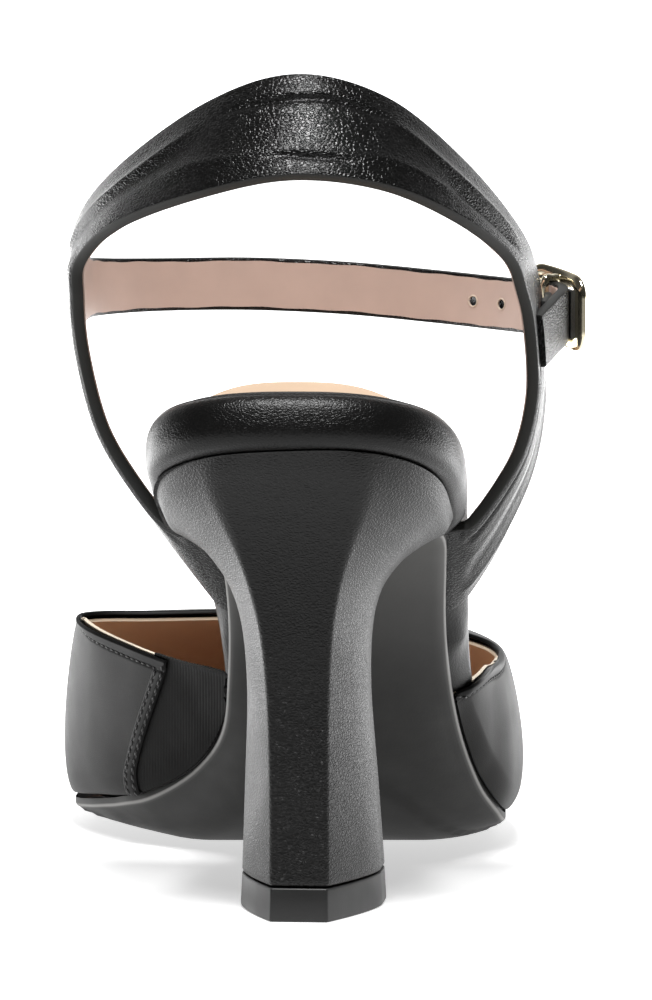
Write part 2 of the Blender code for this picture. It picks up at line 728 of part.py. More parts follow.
def frame_path():
    """Rounded rectangle of the buckle's wire, domed along the strap."""
    half_long = BUCKLE_LONG / 2
    half_tall = BUCKLE_TALL / 2
    path = []
    for quarter, (sx, sz) in enumerate(((1, 1), (-1, 1), (-1, -1), (1, -1))):
        for step in range(4):
            angle = math.pi / 2 * (quarter + step / 3)
            along = sx * (half_long - BUCKLE_CORNER) + BUCKLE_CORNER * math.cos(angle)
            up = sz * (half_tall - BUCKLE_CORNER) + BUCKLE_CORNER * math.sin(angle)
            path.append((along, up))
        if quarter in (0, 2):
            path.append((0.0, sz * half_tall))
    return [buckle_point(along, dome(along), up) for along, up in path]


def as_mesh(obj, collection):
    """The curve's evaluated shape as a mesh object of the same name."""
    graph = bpy.context.evaluated_depsgraph_get()
    mesh = bpy.data.meshes.new_from_object(obj.evaluated_get(graph))
    work = bmesh.new()
    work.from_mesh(mesh)
    bmesh.ops.remove_doubles(work, verts=work.verts, dist=1e-6)
    work.to_mesh(mesh)
    work.free()
    name = obj.name
    made = bpy.data.objects.new(name + "_mesh", mesh)
    made.matrix_world = obj.matrix_world.copy()
    collection.objects.link(made)
    bpy.data.objects.remove(obj)
    made.name = name
    return made


def build_buckle(surface, tab_surface, collection, guides):
    frame = as_mesh(tube("buckle_frame", frame_path(), BUCKLE_WIRE, True, surface, collection), collection)
    rail = BUCKLE_TALL / 2
    bar_path = [
        buckle_point(0.0, dome(0.0), rail),
        buckle_point(0.0, BUCKLE_BAR_DEEP, rail),
        buckle_point(0.0, BUCKLE_BAR_DEEP, -rail),
        buckle_point(0.0, dome(0.0), -rail),
    ]
    bar = as_mesh(tube("buckle_bar_form", bar_path, BUCKLE_BAR, False, surface, guides), guides)
    bar.hide_render = True
    bar.display_type = "WIRE"
    join = frame.modifiers.new("middle bar", "BOOLEAN")
    join.operation = "UNION"
    join.object = bar

    front = -BUCKLE_LONG / 2
    over_front = dome(front) + BUCKLE_WIRE + PRONG_WIRE + GAP
    prong_path = [
        buckle_point(PRONG_TAIL, PRONG_STAND, 0.0),
        buckle_point(front * 0.3, PRONG_CROWN, 0.0),
        buckle_point(front * 0.8, over_front, 0.0),
        buckle_point(front - PRONG_NOSE, over_front, 0.0),
    ]
    tube("buckle_prong", prong_path, PRONG_WIRE, False, surface, collection)

    points = []
    for row in TAB_ROWS:
        for edge in (-TAB_WIDTH / 2, TAB_WIDTH / 2):
            points.append(buckle_point(row.along, row.out, edge - TAB_DROP))
    add_wall("buckle_tab", points, len(TAB_ROWS), 2, TAB_THICK, 0.0, tab_surface, collection)


def main():
    for obj in list(bpy.data.objects):
        bpy.data.objects.remove(obj)
    scene = bpy.context.scene
    collection = bpy.data.collections.new("ankle_strap_pump")
    guides = bpy.data.collections.new("guides")
    scene.collection.children.link(collection)
    scene.collection.children.link(guides)

    rubber = material("outsole_rubber", (0.018, 0.018, 0.017), 0.72)
    rim_leather = material("rim_leather", (0.012, 0.012, 0.012), 0.42)
    heel_leather = material("heel_leather", (0.012, 0.012, 0.012), 0.4)
    tip_plastic = material("tip_plastic", (0.03, 0.03, 0.03), 0.62)
    sock_leather = material("sock_leather", (0.55, 0.38, 0.24), 0.6)
    vamp_leather = material("vamp_leather", (0.011, 0.011, 0.011), 0.45)
    elastic = material("elastic_ribbing", (0.014, 0.014, 0.014), 0.85)
    band_leather = material("band_leather", (0.012, 0.012, 0.012), 0.38)
    tab_leather = material("tab_leather", (0.012, 0.012, 0.012), 0.4)
    gold = material("buckle_gold", (0.86, 0.77, 0.55), 0.14, 1.0)

    build_outsole(rubber, collection)
    build_footbed(rim_leather, collection)
    build_sock(sock_leather, collection)
    build_heel_block(heel_leather, collection)
    build_heel_tip(tip_plastic, collection)
    build_vamp(vamp_leather, elastic, collection)
    build_ankle_band(band_leather, collection, guides)
    build_buckle(gold, tab_leather, collection, guides)


main()
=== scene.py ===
import math

import bpy
import numpy as np
from mathutils import Matrix, Vector


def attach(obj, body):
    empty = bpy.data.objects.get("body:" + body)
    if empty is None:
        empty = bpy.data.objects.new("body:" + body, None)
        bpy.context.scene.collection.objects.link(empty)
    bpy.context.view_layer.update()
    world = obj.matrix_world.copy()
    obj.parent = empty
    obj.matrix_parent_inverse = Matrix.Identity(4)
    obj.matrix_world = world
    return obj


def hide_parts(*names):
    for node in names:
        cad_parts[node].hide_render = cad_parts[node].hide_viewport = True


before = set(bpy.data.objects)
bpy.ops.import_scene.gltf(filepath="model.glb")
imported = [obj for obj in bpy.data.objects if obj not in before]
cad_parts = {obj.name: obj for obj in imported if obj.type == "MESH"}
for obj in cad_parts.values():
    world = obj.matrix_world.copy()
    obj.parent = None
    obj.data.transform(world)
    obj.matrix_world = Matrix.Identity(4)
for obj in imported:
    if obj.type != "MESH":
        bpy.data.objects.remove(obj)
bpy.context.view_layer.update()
print("frame loaded with", len(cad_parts), "nodes")

# The last, in millimetres: y runs to the toe, x to the outside of the right foot, z up from the floor
last = {
    "centre": (0.7, 104.0, 0.0),  # point of the last that is the frame's origin
    "toeY": 214.0,
    "ballY": 138.0,
    "seatBackY": -7.5,
    "seatWidestY": 22.0,
    "breastY": 41.0,
    "toeTipX": -9.0,
    "toeSquareness": 1.8,
    "toeFullness": 0.7,
    "toeRoom": 3.6,
    "seatFullness": 2.7,
    "flatTread": 0.58,
    "heelAxisX": -3.0,
    "heelYaw": math.radians(5.5),
    "gap": 0.3,
    # place along the shoe, height, slope
    "bottomLine": [
        (-8.0, 85.3, -0.385), (36.0, 68.4, -0.37), (108.0, 3.6, -0.11),
        (115.0, 3.0, 0.0), (152.0, 3.0, 0.0), (214.0, 9.5, 0.20),
    ],
    # place along, outsole inner and outer edge, footbed inner and outer edge, rise of each edge, thickness
    "plan": [
        (22.0, -24.0, 24.0, -29.6, 27.0, 0.0, 0.0, 10.0),
        (31.0, -21.0, 24.0, -29.0, 27.5, 0.0, 0.0, 10.0),
        (40.0, -18.4, 24.0, -26.4, 27.7, 0.0, 0.0, 9.8),
        (50.0, -16.8, 24.0, -22.2, 28.0, 0.0, 0.0, 9.2),
        (60.0, -16.0, 24.1, -18.8, 28.3, 0.0, 0.0, 8.6),
        (70.0, -16.3, 25.2, -16.9, 28.9, 0.3, 0.4, 7.4),
        (80.0, -17.6, 27.4, -17.4, 30.4, 2.0, 1.6, 5.8),
        (90.0, -22.6, 31.0, -22.0, 31.0, 4.9, 1.6, 4.6),
        (100.0, -30.3, 35.0, -28.6, 33.2, 5.8, 2.2, 4.0),
        (110.0, -36.8, 36.4, -34.6, 34.6, 5.5, 2.4, 3.6),
        (124.0, -44.0, 36.8, -40.3, 34.8, 3.7, 2.0, 3.5),
        (138.0, -47.2, 36.0, -43.1, 33.8, 2.4, 2.0, 3.5),
    ],
}
outsoleLayer = 1  # first of the layer's two edge columns in the plan
footbedLayer = 3


def toFrame(points):
    return (np.asarray(points, float) - last["centre"]) * 0.001


def readTable(table, at):  # smooth reading of all columns at fractional row numbers
    rows = np.array(table, float)
    at = np.asarray(at, float)
    first = np.clip(np.floor(at).astype(int), 0, len(rows) - 2)
    t = (at - first)[..., None]
    before = rows[np.maximum(first - 1, 0)]
    here = rows[first]
    there = rows[first + 1]
    after = rows[np.minimum(first + 2, len(rows) - 1)]
    bend = 2 * before - 5 * here + 4 * there - after
    return here + 0.5 * t * (there - before + t * (bend + t * (3 * (here - there) + after - before)))


def bottomHeight(y):
    rows = np.array(last["bottomLine"])
    first = np.clip(np.searchsorted(rows[:, 0], y, side="right") - 1, 0, len(rows) - 2)
    a = rows[first]
    b = rows[first + 1]
    span = b[..., 0] - a[..., 0]
    t = (y - a[..., 0]) / span
    start = (1 + 2 * t) * (1 - t) ** 2 * a[..., 1] + t * (1 - t) ** 2 * span * a[..., 2]
    end = t * t * (3 - 2 * t) * b[..., 1] + t * t * (t - 1) * span * b[..., 2]
    return start + end


def planAt(y):
    places = [row[0] for row in last["plan"]]
    return readTable(last["plan"], np.interp(y, places, range(len(places))))


def toeShare(y):  # share of the ball's width that is left towards the toe
    part = np.clip((y - last["ballY"]) / (last["toeY"] - last["ballY"]), 0.0, 1.0)
    return (1.0 - part ** last["toeSquareness"]) ** last["toeFullness"]


def seatBack(y):  # 0 at the widest line of the seat, 1 at its back
    return np.clip((last["seatWidestY"] - y) / (last["seatWidestY"] - last["seatBackY"]), 0.0, 1.0)


def seatShare(y):  # share of the seat's width that is left towards the back
    return (1.0 - seatBack(y) ** last["seatFullness"]) ** (1.0 / last["seatFullness"])


def seatLevel(y, across):  # 1 on the outline of the seat, less inside it
    full = last["seatFullness"]
    return ((np.abs(across) * seatShare(y)) ** full + seatBack(y) ** full) ** (1.0 / full)


def heelCentreX(y):
    return last["heelAxisX"] + y * math.tan(last["heelYaw"])


def planEdges(y, layer):
    row = planAt(y)
    inner = row[..., layer]
    outer = row[..., layer + 1]
    toe = np.clip((y - last["ballY"]) / (last["toeY"] - last["ballY"]), 0.0, 1.0)
    middle = (inner + outer) / 2
    toeMiddle = middle + (last["toeTipX"] - middle) * toe ** 2
    toeHalf = (outer - inner) / 2 * toeShare(y)
    widest = heelCentreX(last["seatWidestY"])
    seat = seatShare(y)
    seatInner = heelCentreX(y) + (inner - widest) * seat
    seatOuter = heelCentreX(y) + (outer - widest) * seat
    inToe = y > last["ballY"]
    inSeat = y < last["seatWidestY"]
    left = np.where(inToe, toeMiddle - toeHalf, np.where(inSeat, seatInner, inner))
    right = np.where(inToe, toeMiddle + toeHalf, np.where(inSeat, seatOuter, outer))
    return left, right, outer - inner


def onSole(layer, y, across, height, inset=0.0, toeRoom=0.0):  # across runs from -1 inside to 1 outside
    given = [np.asarray(v, float) for v in (y, across, height, inset)]
    y, across, height, inset = np.broadcast_arrays(*given)
    left, right, full = planEdges(y, layer)
    x = (left + right) / 2 + across * (right - left) / 2 * (1.0 - 2.0 * inset / full)
    row = planAt(y)
    rise = np.where(across < 0, row[..., 5], row[..., 6])
    outer = np.maximum(0.0, (np.abs(across) - last["flatTread"]) / (1.0 - last["flatTread"]))
    lift = height + rise * toeShare(y) * outer ** 2
    behind = seatBack(y) ** (last["seatFullness"] - 1.0)
    beside = seatShare(y) ** (last["seatFullness"] - 1.0)
    y = y + inset * (toeShare(y) - 1.0 + behind / np.hypot(behind, beside)) - toeRoom * (1.0 - toeShare(y))
    step = 0.05
    slope = (bottomHeight(y + step) - bottomHeight(y - step)) / (2 * step)
    size = np.hypot(slope, 1.0)
    return np.stack([x, y - slope / size * lift, bottomHeight(y) + lift / size], -1)


# Modelling helpers
def selectOnly(*pieces):
    bpy.ops.object.select_all(action="DESELECT")
    for piece in pieces:
        piece.select_set(True)
    bpy.context.view_layer.objects.active = pieces[0]


def layGrid(name, points):  # a flat grid laid over rows and columns of points
    rows, cols = points.shape[:2]
    bpy.ops.object.select_all(action="DESELECT")
    bpy.ops.mesh.primitive_grid_add(x_subdivisions=cols - 1, y_subdivisions=rows - 1, size=1.0)
    piece = bpy.context.active_object
    piece.name = name
    piece.data.name = name
    piece.data.vertices.foreach_set("co", toFrame(points).astype(np.float32).ravel())
    piece.data.update()
    return piece


def mark(piece, name, values):  # a value for every vertex, for the finish to read
    layer = piece.data.attributes.new(name, "FLOAT", "POINT")
    layer.data.foreach_set("value", np.asarray(values, np.float32).ravel())


def mend(piece, fill=False):  # merges the seams, closes open ends and turns the faces outwards
    selectOnly(piece)
    bpy.ops.object.mode_set(mode="EDIT")
    bpy.ops.mesh.select_all(action="SELECT")
    bpy.ops.mesh.remove_doubles(threshold=2e-6)
    if fill:
        bpy.ops.mesh.fill_holes(sides=0)
        bpy.ops.mesh.select_all(action="SELECT")
    bpy.ops.mesh.normals_make_consistent(inside=False)
    bpy.ops.object.mode_set(mode="OBJECT")
    return piece


def joinPieces(name, pieces):
    selectOnly(*pieces)
    bpy.ops.object.join()
    piece = bpy.context.active_object
    piece.name = name
    piece.data.name = name
    return piece


def applyModifier(piece, kind, **settings):
    selectOnly(piece)
    modifier = piece.modifiers.new(kind.lower(), kind)
    for key, value in settings.items():
        setattr(modifier, key, value)
    bpy.ops.object.modifier_apply(modifier=modifier.name)
    return piece


def dress(piece, finish, node=None, angle=50.0):
    piece.data.materials.clear()
    piece.data.materials.append(finish)
    selectOnly(piece)
    bpy.ops.object.shade_smooth_by_angle(angle=math.radians(angle))
    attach(piece, "root")
    if node:
        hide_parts(node)
    return piece


def unit(vectors):
    return vectors / np.maximum(np.linalg.norm(vectors, axis=-1, keepdims=True), 1e-9)


def gridNormals(points):
    return unit(np.cross(np.gradient(points, axis=1), np.gradient(points, axis=0)))


def smoothStep(value, low, high):
    t = np.clip((value - low) / (high - low), 0.0, 1.0)
    return t * t * (3.0 - 2.0 * t)


def bell(value, middle, spread):
    return np.exp(-((value - middle) / spread) ** 2)


# Finishes
def newFinish(name, colour, roughness, **sockets):
    finish = bpy.data.materials.new(name)
    finish.use_nodes = True
    shader = finish.node_tree.nodes["Principled BSDF"]
    shader.inputs["Base Color"].default_value = (*colour, 1.0)
    shader.inputs["Roughness"].default_value = roughness
    for key, value in sockets.items():
        shader.inputs[key.replace("_", " ")].default_value = value
    return finish


def addNode(finish, kind, inputs, **settings):
    node = finish.node_tree.nodes.new("ShaderNode" + kind)
    for key, value in settings.items():
        setattr(node, key, value)
    for key, value in inputs.items():
        if isinstance(value, bpy.types.NodeSocket):
            finish.node_tree.links.new(value, node.inputs[key])
        else:
            node.inputs[key].default_value = value
    return node


def mathNode(finish, operation, first, second, third=0.0):
    return addNode(finish, "Math", {0: first, 1: second, 2: third}, operation=operation).outputs[0]


def objectPoint(finish):
    return addNode(finish, "TexCoord", {}).outputs["Object"]


def wire(finish, output, *sockets):
    shader = finish.node_tree.nodes["Principled BSDF"]
    for socket in sockets:
        finish.node_tree.links.new(output, shader.inputs[socket])


def blotches(finish, point, size, low, high):  # slow variation between two values, size in millimetres
    cloud = addNode(finish, "TexNoise", {"Vector": point, "Scale": 1000.0 / size, "Detail": 3.0})
    spread = addNode(finish, "MapRange", {0: cloud.outputs[0], 1: 0.3, 2: 0.7, 3: low, 4: high})
    return spread.outputs[0]


def pebbles(finish, point, size):  # height of a pebbled grain, cells of about size millimetres
    point = addNode(finish, "VectorMath", {0: point, 1: (1.0, 1.0, 1.5)}, operation="MULTIPLY").outputs[0]
    drift = addNode(finish, "TexNoise", {"Vector": point, "Scale": 620.0 / size, "Detail": 2.0})
    middle = (0.5, 0.5, 0.5)
    push = addNode(finish, "VectorMath", {0: drift.outputs["Color"], 1: middle}, operation="SUBTRACT")
    small = addNode(finish, "VectorMath", {0: push.outputs[0], "Scale": size * 0.0011}, operation="SCALE")
    moved = addNode(finish, "VectorMath", {0: point, 1: small.outputs[0]}, operation="ADD")
    cells = addNode(finish, "TexVoronoi", {"Vector": moved.outputs[0], "Scale": 1000.0 / size},
                    feature="DISTANCE_TO_EDGE")
    plates = addNode(finish, "MapRange", {0: cells.outputs["Distance"], 1: 0.0, 2: 0.3, 3: 0.0, 4: 1.0},
                     interpolation_type="SMOOTHSTEP")
    fine = addNode(finish, "TexNoise", {"Vector": point, "Scale": 2100.0 / size, "Detail": 2.0})
    return mathNode(finish, "MULTIPLY_ADD", fine.outputs[0], 0.45, plates.outputs[0])


def leather(name, colour, roughness, grain, depth, marked=None, gloss=0.3):
    finish = newFinish(name, colour, roughness, Specular_IOR_Level=gloss)
    point = objectPoint(finish)
    height = pebbles(finish, point, grain)
    rough = blotches(finish, point, 14.0, roughness - 0.04, roughness + 0.05)
    if marked:  # parts marked on the mesh are smooth, with a colour and roughness of their own
        paint, rougher = marked
        edge = addNode(finish, "Attribute", {}, attribute_name="edge").outputs["Fac"]
        keep = mathNode(finish, "SUBTRACT", 1.0, edge)
        height = mathNode(finish, "MULTIPLY", height, keep)
        rough = mathNode(finish, "MULTIPLY_ADD", edge, rougher, rough)
        tones = {"Factor": edge, "A": (*colour, 1.0), "B": (*paint, 1.0)}
        wire(finish, addNode(finish, "Mix", tones, data_type="RGBA").outputs["Result"], "Base Color")
    bump = addNode(finish, "Bump", {"Height": height, "Distance": depth * 0.001, "Strength": 1.0})
    wire(finish, rough, "Roughness")
    wire(finish, bump.outputs[0], "Normal")
    return finish


# soft fine-grained surface
def plain(name, colour, roughness, grain, depth, shade=0.12, marked=None, **sockets):
    finish = newFinish(name, colour, roughness, **sockets)
    point = objectPoint(finish)
    fine = addNode(finish, "TexNoise", {"Vector": point, "Scale": 1000.0 / grain, "Detail": 4.0})
    bump = addNode(finish, "Bump", {"Height": fine.outputs[0], "Distance": depth * 0.001, "Strength": 1.0})
    wire(finish, bump.outputs[0], "Normal")
    wire(finish, blotches(finish, point, 12.0, roughness - 0.06, roughness + 0.06), "Roughness")
    dark = tuple(c * (1.0 - shade) for c in colour)
    tones = {"Factor": blotches(finish, point, 7.0, 0.0, 1.0), "A": (*dark, 1.0), "B": (*colour, 1.0)}
    tone = addNode(finish, "Mix", tones, data_type="RGBA").outputs["Result"]
    if marked:
        edge = addNode(finish, "Attribute", {}, attribute_name="edge").outputs["Fac"]
        tones = {"Factor": edge, "A": tone, "B": (*marked, 1.0)}
        tone = addNode(finish, "Mix", tones, data_type="RGBA").outputs["Result"]
    wire(finish, tone, "Base Color")
    return finish


finishes = {}


def makeFinishes():
    black = (0.0045, 0.0044, 0.0043)
    paint = (0.017, 0.0172, 0.016)
    finishes["heel"] = leather("heelLeather", black, 0.38, 0.8, 0.052)
    finishes["rim"] = leather("rimLeather", black, 0.32, 0.7, 0.028, gloss=0.25)
    finishes["band"] = leather("bandLeather", black, 0.25, 0.8, 0.058, (paint, 0.3))
    fold = ((0.003, 0.003, 0.003), -0.02)
    finishes["vamp"] = leather("vampLeather", (0.012, 0.0118, 0.0115), 0.44, 0.45, 0.012, fold, 0.11)
    finishes["tab"] = leather("tabLeather", black, 0.36, 0.7, 0.05, (paint, 0.3), 0.7)
    rubber = (0.019, 0.0187, 0.0178)
    # painted highlight: the pale colour of the outsole's edge line
    edgeHighlight = (0.3, 0.295, 0.285)
    finishes["outsole"] = plain("outsoleRubber", rubber, 0.55, 0.5, 0.02, 0.25, edgeHighlight,
                                Specular_IOR_Level=0.36)
    finishes["tip"] = plain("tipPlastic", (0.012, 0.012, 0.0118), 0.45, 0.4, 0.01, 0.2)
    finishes["sock"] = plain("sockLeather", (0.66, 0.48, 0.33), 0.6, 0.3, 0.02, 0.1, black)
    finishes["strapLining"] = plain("strapLining", (0.53, 0.385, 0.325), 0.5, 0.3, 0.015, 0.08)
    finishes["vampLining"] = liningFinish()
    finishes["holeEdge"] = plain("holeEdge", (0.62, 0.5, 0.4), 0.6, 0.2, 0.01)
    finishes["elastic"] = plain("elasticRibbing", (0.006, 0.006, 0.0058), 0.85, 0.25, 0.05, 0.3,
                                Specular_IOR_Level=0.25)
    finishes["thread"] = plain("blackThread", (0.01, 0.01, 0.01), 0.4, 0.2, 0.03)
    finishes["gold"] = newFinish("paleGold", (0.88, 0.8, 0.6), 0.13, Metallic=1.0)


def liningFinish():  # cream at the top edge, the lining's raw edge partly painted lighter as a highlight on its lit top; tan below
    finish = newFinish("vampLining", (0.85, 0.62, 0.48), 0.6)
    depth = addNode(finish, "Attribute", {}, attribute_name="fromTop").outputs["Fac"]
    share = addNode(finish, "MapRange", {0: depth, 1: 0.95, 2: 1.25, 3: 0.0, 4: 1.0}).outputs[0]
    # painted highlight: part of the cream top edge stands in for light on the lining's top
    tones = {"Factor": share, "A": (0.93, 0.82, 0.66, 1.0), "B": (0.85, 0.62, 0.48, 1.0)}
    wire(finish, addNode(finish, "Mix", tones, data_type="RGBA").outputs["Result"], "Base Color")
    return finish


makeFinishes()
print("finishes made")

# Heel cover
heelCover = {
    # rear height, lean, back, breast, half of the rear facet, half width, roundness, tilt
    "rows": [
        (6.3, 0.2, 0.2, 35.0, 5.0, 12.5, 0.0, 0.0),
        (22.0, 0.0, 1.6, 33.0, 5.0, 11.7, 0.0, 0.0),
        (38.0, -0.3, 2.8, 31.2, 5.3, 10.9, 0.0, 0.0),
        (50.0, -0.6, 3.0, 31.0, 6.2, 11.4, 0.0, 0.03),
        (58.5, -0.9, 2.6, 31.8, 7.9, 13.2, 0.03, 0.09),
        (65.5, -1.1, 1.7, 33.4, 10.2, 16.6, 0.08, 0.16),
        (71.5, -1.3, 0.3, 35.6, 12.8, 20.4, 0.18, 0.24),
        (76.5, -1.5, -1.4, 37.8, 15.0, 23.4, 0.35, 0.31),
        (80.5, -1.6, -3.2, 39.8, 16.6, 25.2, 0.65, 0.36),
        (84.3, -1.6, -4.6, 41.0, 17.6, 26.4, 1.0, 0.37),
    ],
    "widestAt": 0.66,
    "facetShare": 0.2,
    "sideBow": 1.5,
    # front corner, as shares of the half width and of the run in front of the widest line
    "breastCorner": [(1.0, 0.0), (1.0, 0.5), (0.985, 0.8), (0.93, 0.95), (0.84, 1.0)],
    "edgeRadius": (0.9, 4.5),  # of the long edges beside the rear facet, low down and at the seat
    "lip": [(8.9, 0.05), (8.95, 0.2), (8.985, 0.5), (9.0, 1.0)],  # level and inset of the turned-in top
    "foot": [(0.0, 0.4), (0.02, 0.12)],
    "levels": 110,
}


def heelOutline(rows, radius):  # half outlines, from the middle of the back to the middle of the breast
    back, front, facet, half, roundness = (rows[:, [k]] for k in (2, 3, 4, 5, 6))
    share = heelCover["facetShare"]
    bow = heelCover["sideBow"]
    widest = back + heelCover["widestAt"] * (front - back)

    def side(run):
        return facet + (half - facet) * (1.0 - (1.0 - run) ** bow), back + (widest - back) * run

    runStart = radius / np.hypot(bow * (half - facet), widest - back)
    flat = (facet - radius) * np.linspace(0.0, 1.0, 9)[None, :-1]
    q = np.linspace(0.0, 1.0, 11)[None, :-1]
    startX, startY = side(runStart)
    turnX = (1 - q) ** 2 * (facet - radius) + 2 * q * (1 - q) * facet + q ** 2 * startX
    turnY = (1 - q ** 2) * back + q ** 2 * startY
    turnPart = share * (1 - radius / facet) * (1 - q) + (share + (1 - share) * runStart) * q
    run = runStart + (1.0 - runStart) * np.linspace(0.0, 1.0, 40)[None, :]
    sideX, sideY = side(run)
    x = np.concatenate([flat, turnX, sideX], 1)
    y = np.concatenate([back + 0 * flat, turnY, sideY], 1)
    part = np.concatenate([share * flat / facet, turnPart, share + (1 - share) * run], 1)
    power = 2.0 / last["seatFullness"]
    x = x + (half * np.sin(part * np.pi / 2) ** power - x) * roundness
    y = y + (widest - (widest - back) * np.cos(part * np.pi / 2) ** power - y) * roundness
    corner = readTable(heelCover["breastCorner"], np.linspace(0.0, 4.0, 25)[1:])
    middle = np.linspace(corner[-1, 0], 0.0, 9)[1:]
    breastX = np.concatenate([corner[:, 0], middle])[None, :] * half
    breastY = widest + (front - widest) * np.concatenate([corner[:, 1], np.ones(8)])[None, :]
    return np.concatenate([x, breastX], 1), np.concatenate([y, breastY], 1)


def heelPoint(across, along, z):
    yaw = last["heelYaw"]
    x = last["heelAxisX"] + across * math.cos(yaw) + along * math.sin(yaw)
    y = along * math.cos(yaw) - across * math.sin(yaw)
    return np.stack(np.broadcast_arrays(x, y, z), -1)


def heelRings(levels, insets, radius):
    rows = readTable(heelCover["rows"], levels)
    halfX, halfY = heelOutline(rows, radius[:, None])
    across = np.concatenate([-halfX, halfX[:, -2::-1]], 1)
    along = np.concatenate([halfY, halfY[:, -2::-1]], 1)
    shrink = 1.0 - insets[:, None] / rows[:, [5]]
    middle = (rows[:, [2]] + rows[:, [3]]) / 2
    z = rows[:, [0]] - rows[:, [7]] * (along - rows[:, [2]])
    points = heelPoint(across * shrink + rows[:, [1]], middle + (along - middle) * shrink, z)
    points[..., 2] = np.minimum(points[..., 2], bottomHeight(points[..., 1]) - last["gap"])
    return points


def makeHeelCover():
    middle = np.linspace(0.05, 8.86, heelCover["levels"])
    levels = np.concatenate([[k for k, _ in heelCover["foot"]], middle, [k for k, _ in heelCover["lip"]]])
    insets = np.concatenate([[i for _, i in heelCover["foot"]], 0 * middle, [i for _, i in heelCover["lip"]]])
    low, high = heelCover["edgeRadius"]
    radius = low + (high - low) * smoothStep(levels, 4.0, 9.0)
    piece = mend(layGrid("heelCover", heelRings(levels, insets, radius)), fill=True)
    return dress(piece, finishes["heel"], "heel_block")


# Heel tip
heelTip = {"thick": 6.0, "flare": 0.3, "edge": 0.45, "corner": 0.3}


def makeHeelTip():
    ring = heelRings(np.array([0.0]), np.array([-heelTip["flare"]]), np.array([heelTip["corner"]]))[0, :-1]
    ring[:, 2] = 0.0
    bpy.ops.object.select_all(action="DESELECT")
    bpy.ops.mesh.primitive_circle_add(vertices=len(ring), radius=0.02, fill_type="NGON")
    piece = bpy.context.active_object
    piece.name = "heelTip"
    piece.data.vertices.foreach_set("co", toFrame(ring).astype(np.float32).ravel())
    bpy.ops.object.mode_set(mode="EDIT")
    bpy.ops.mesh.select_all(action="SELECT")
    middle = toFrame(ring).mean(axis=0)
    bpy.ops.mesh.extrude_region_move(TRANSFORM_OT_translate={"value": (0.0, 0.0, heelTip["thick"] * 0.001)})
    size = 1.0 - heelTip["flare"] / heelCover["rows"][0][5]
    bpy.ops.transform.resize(value=(size, size, 1.0), center_override=tuple(middle))
    bpy.ops.mesh.select_all(action="SELECT")
    bpy.ops.mesh.normals_make_consistent(inside=False)
    bpy.ops.object.mode_set(mode="OBJECT")
    applyModifier(piece, "BEVEL", width=heelTip["edge"] * 0.001, segments=3, limit_method="ANGLE",
                  angle_limit=math.radians(60))
    return dress(piece, finishes["tip"], "heel_tip", 30.0)


makeHeelCover()
makeHeelTip()
print("heel made")


# Sole layers
def soleStations(first, count):  # close together towards the round ends
    t = np.linspace(0.0, 1.0, count)
    if first <= last["seatBackY"]:
        return first + (last["toeY"] - first) * (0.5 - 0.5 * np.cos(np.pi * t))
    return first + (last["toeY"] - first) * np.sin(0.5 * np.pi * t)


def slab(name, form, ys, levels, columns, shade=None):
    # closed layer: form gives the point at y, across, height and inset,
    # shade a mark at y, across, height and point
    across = np.linspace(-1.0, 1.0, columns)
    rear = across[::-1][1:]
    loopY = np.concatenate([ys, ys[-2::-1], np.full(len(rear), ys[0])])
    loopAcross = np.concatenate([np.full(len(ys), -1.0), np.full(len(ys) - 1, 1.0), rear])
    wall = np.stack([form(loopY, loopAcross, height, inset) for height, inset in levels])
    heights = np.array([height for height, _ in levels])[:, None]
    grids = [(loopY[None, :], loopAcross[None, :], heights, wall)]
    for height, inset in (levels[0], levels[-1]):
        face = form(ys[:, None], across[None, :], height, inset)
        grids.append((ys[:, None], across[None, :], height, face))
    pieces = []
    for y, side, height, points in grids:
        pieces.append(layGrid(name, points))
        if shade:
            mark(pieces[-1], "edge", np.broadcast_to(shade(y, side, height, points), points.shape[:2]))
    return mend(joinPieces(name, pieces))


rim = {
    "round": 3.2,
    "squareness": 1.4,
    "bead": 0.02,  # fine ridge along the top edge, as a share of the rim's height
    "beadAt": 1.18,  # radians up the rim's round
    "stations": 190,
    # the rim's lower part is pressed in by the band's feet and by the vamp's outer end:
    # where along the shoe, how far, how fast that fades upwards, from which side
    "pressed": [
        ((38.0, 44.0), (60.0, 66.0), 2.8, 2.0, -1.5),
        ((62.0, 70.0), (80.0, 88.0), 3.4, 1.5, 0.0),
    ],
}


def makeRim():
    def form(y, across, part, inset):
        y, across = np.broadcast_arrays(np.asarray(y, float), np.asarray(across, float))
        press = 0.0
        for start, end, deep, fade, side in rim["pressed"]:
            there = smoothStep(y, *start) * (1.0 - smoothStep(y, *end)) * (across > side)
            press = np.maximum(press, deep * there * max(0.0, 1.0 - fade * part))
        return onSole(footbedLayer, y, across, planAt(y)[..., 7] * part, inset + press, last["toeRoom"])

    angles = np.concatenate([np.linspace(-np.pi / 2, 0.9, 15), np.linspace(1.0, 1.4, 15), [1.48, np.pi / 2]])
    heights = 0.5 + 0.5 * np.sin(angles) + rim["bead"] * bell(angles, rim["beadAt"], 0.06)
    insets = rim["round"] * (1.0 - np.cos(angles)) ** rim["squareness"]
    levels = list(zip(heights.tolist(), insets.tolist()))
    piece = slab("rimCover", form, soleStations(last["seatBackY"], rim["stations"]), levels, 13)
    return dress(piece, finishes["rim"], "footbed")


sock = {
    "thick": 0.6,
    "crown": 5.0,  # highest at the back of the seat
    "crownFrom": (0.62, 1.0),  # seat levels where the crown starts to fall and where it ends
    "turned": (0.88, 0.91),  # seat levels between which the colour turns to the rim's
    "inset": 3.6,
    "edge": 0.5,
    "stations": 200,
}


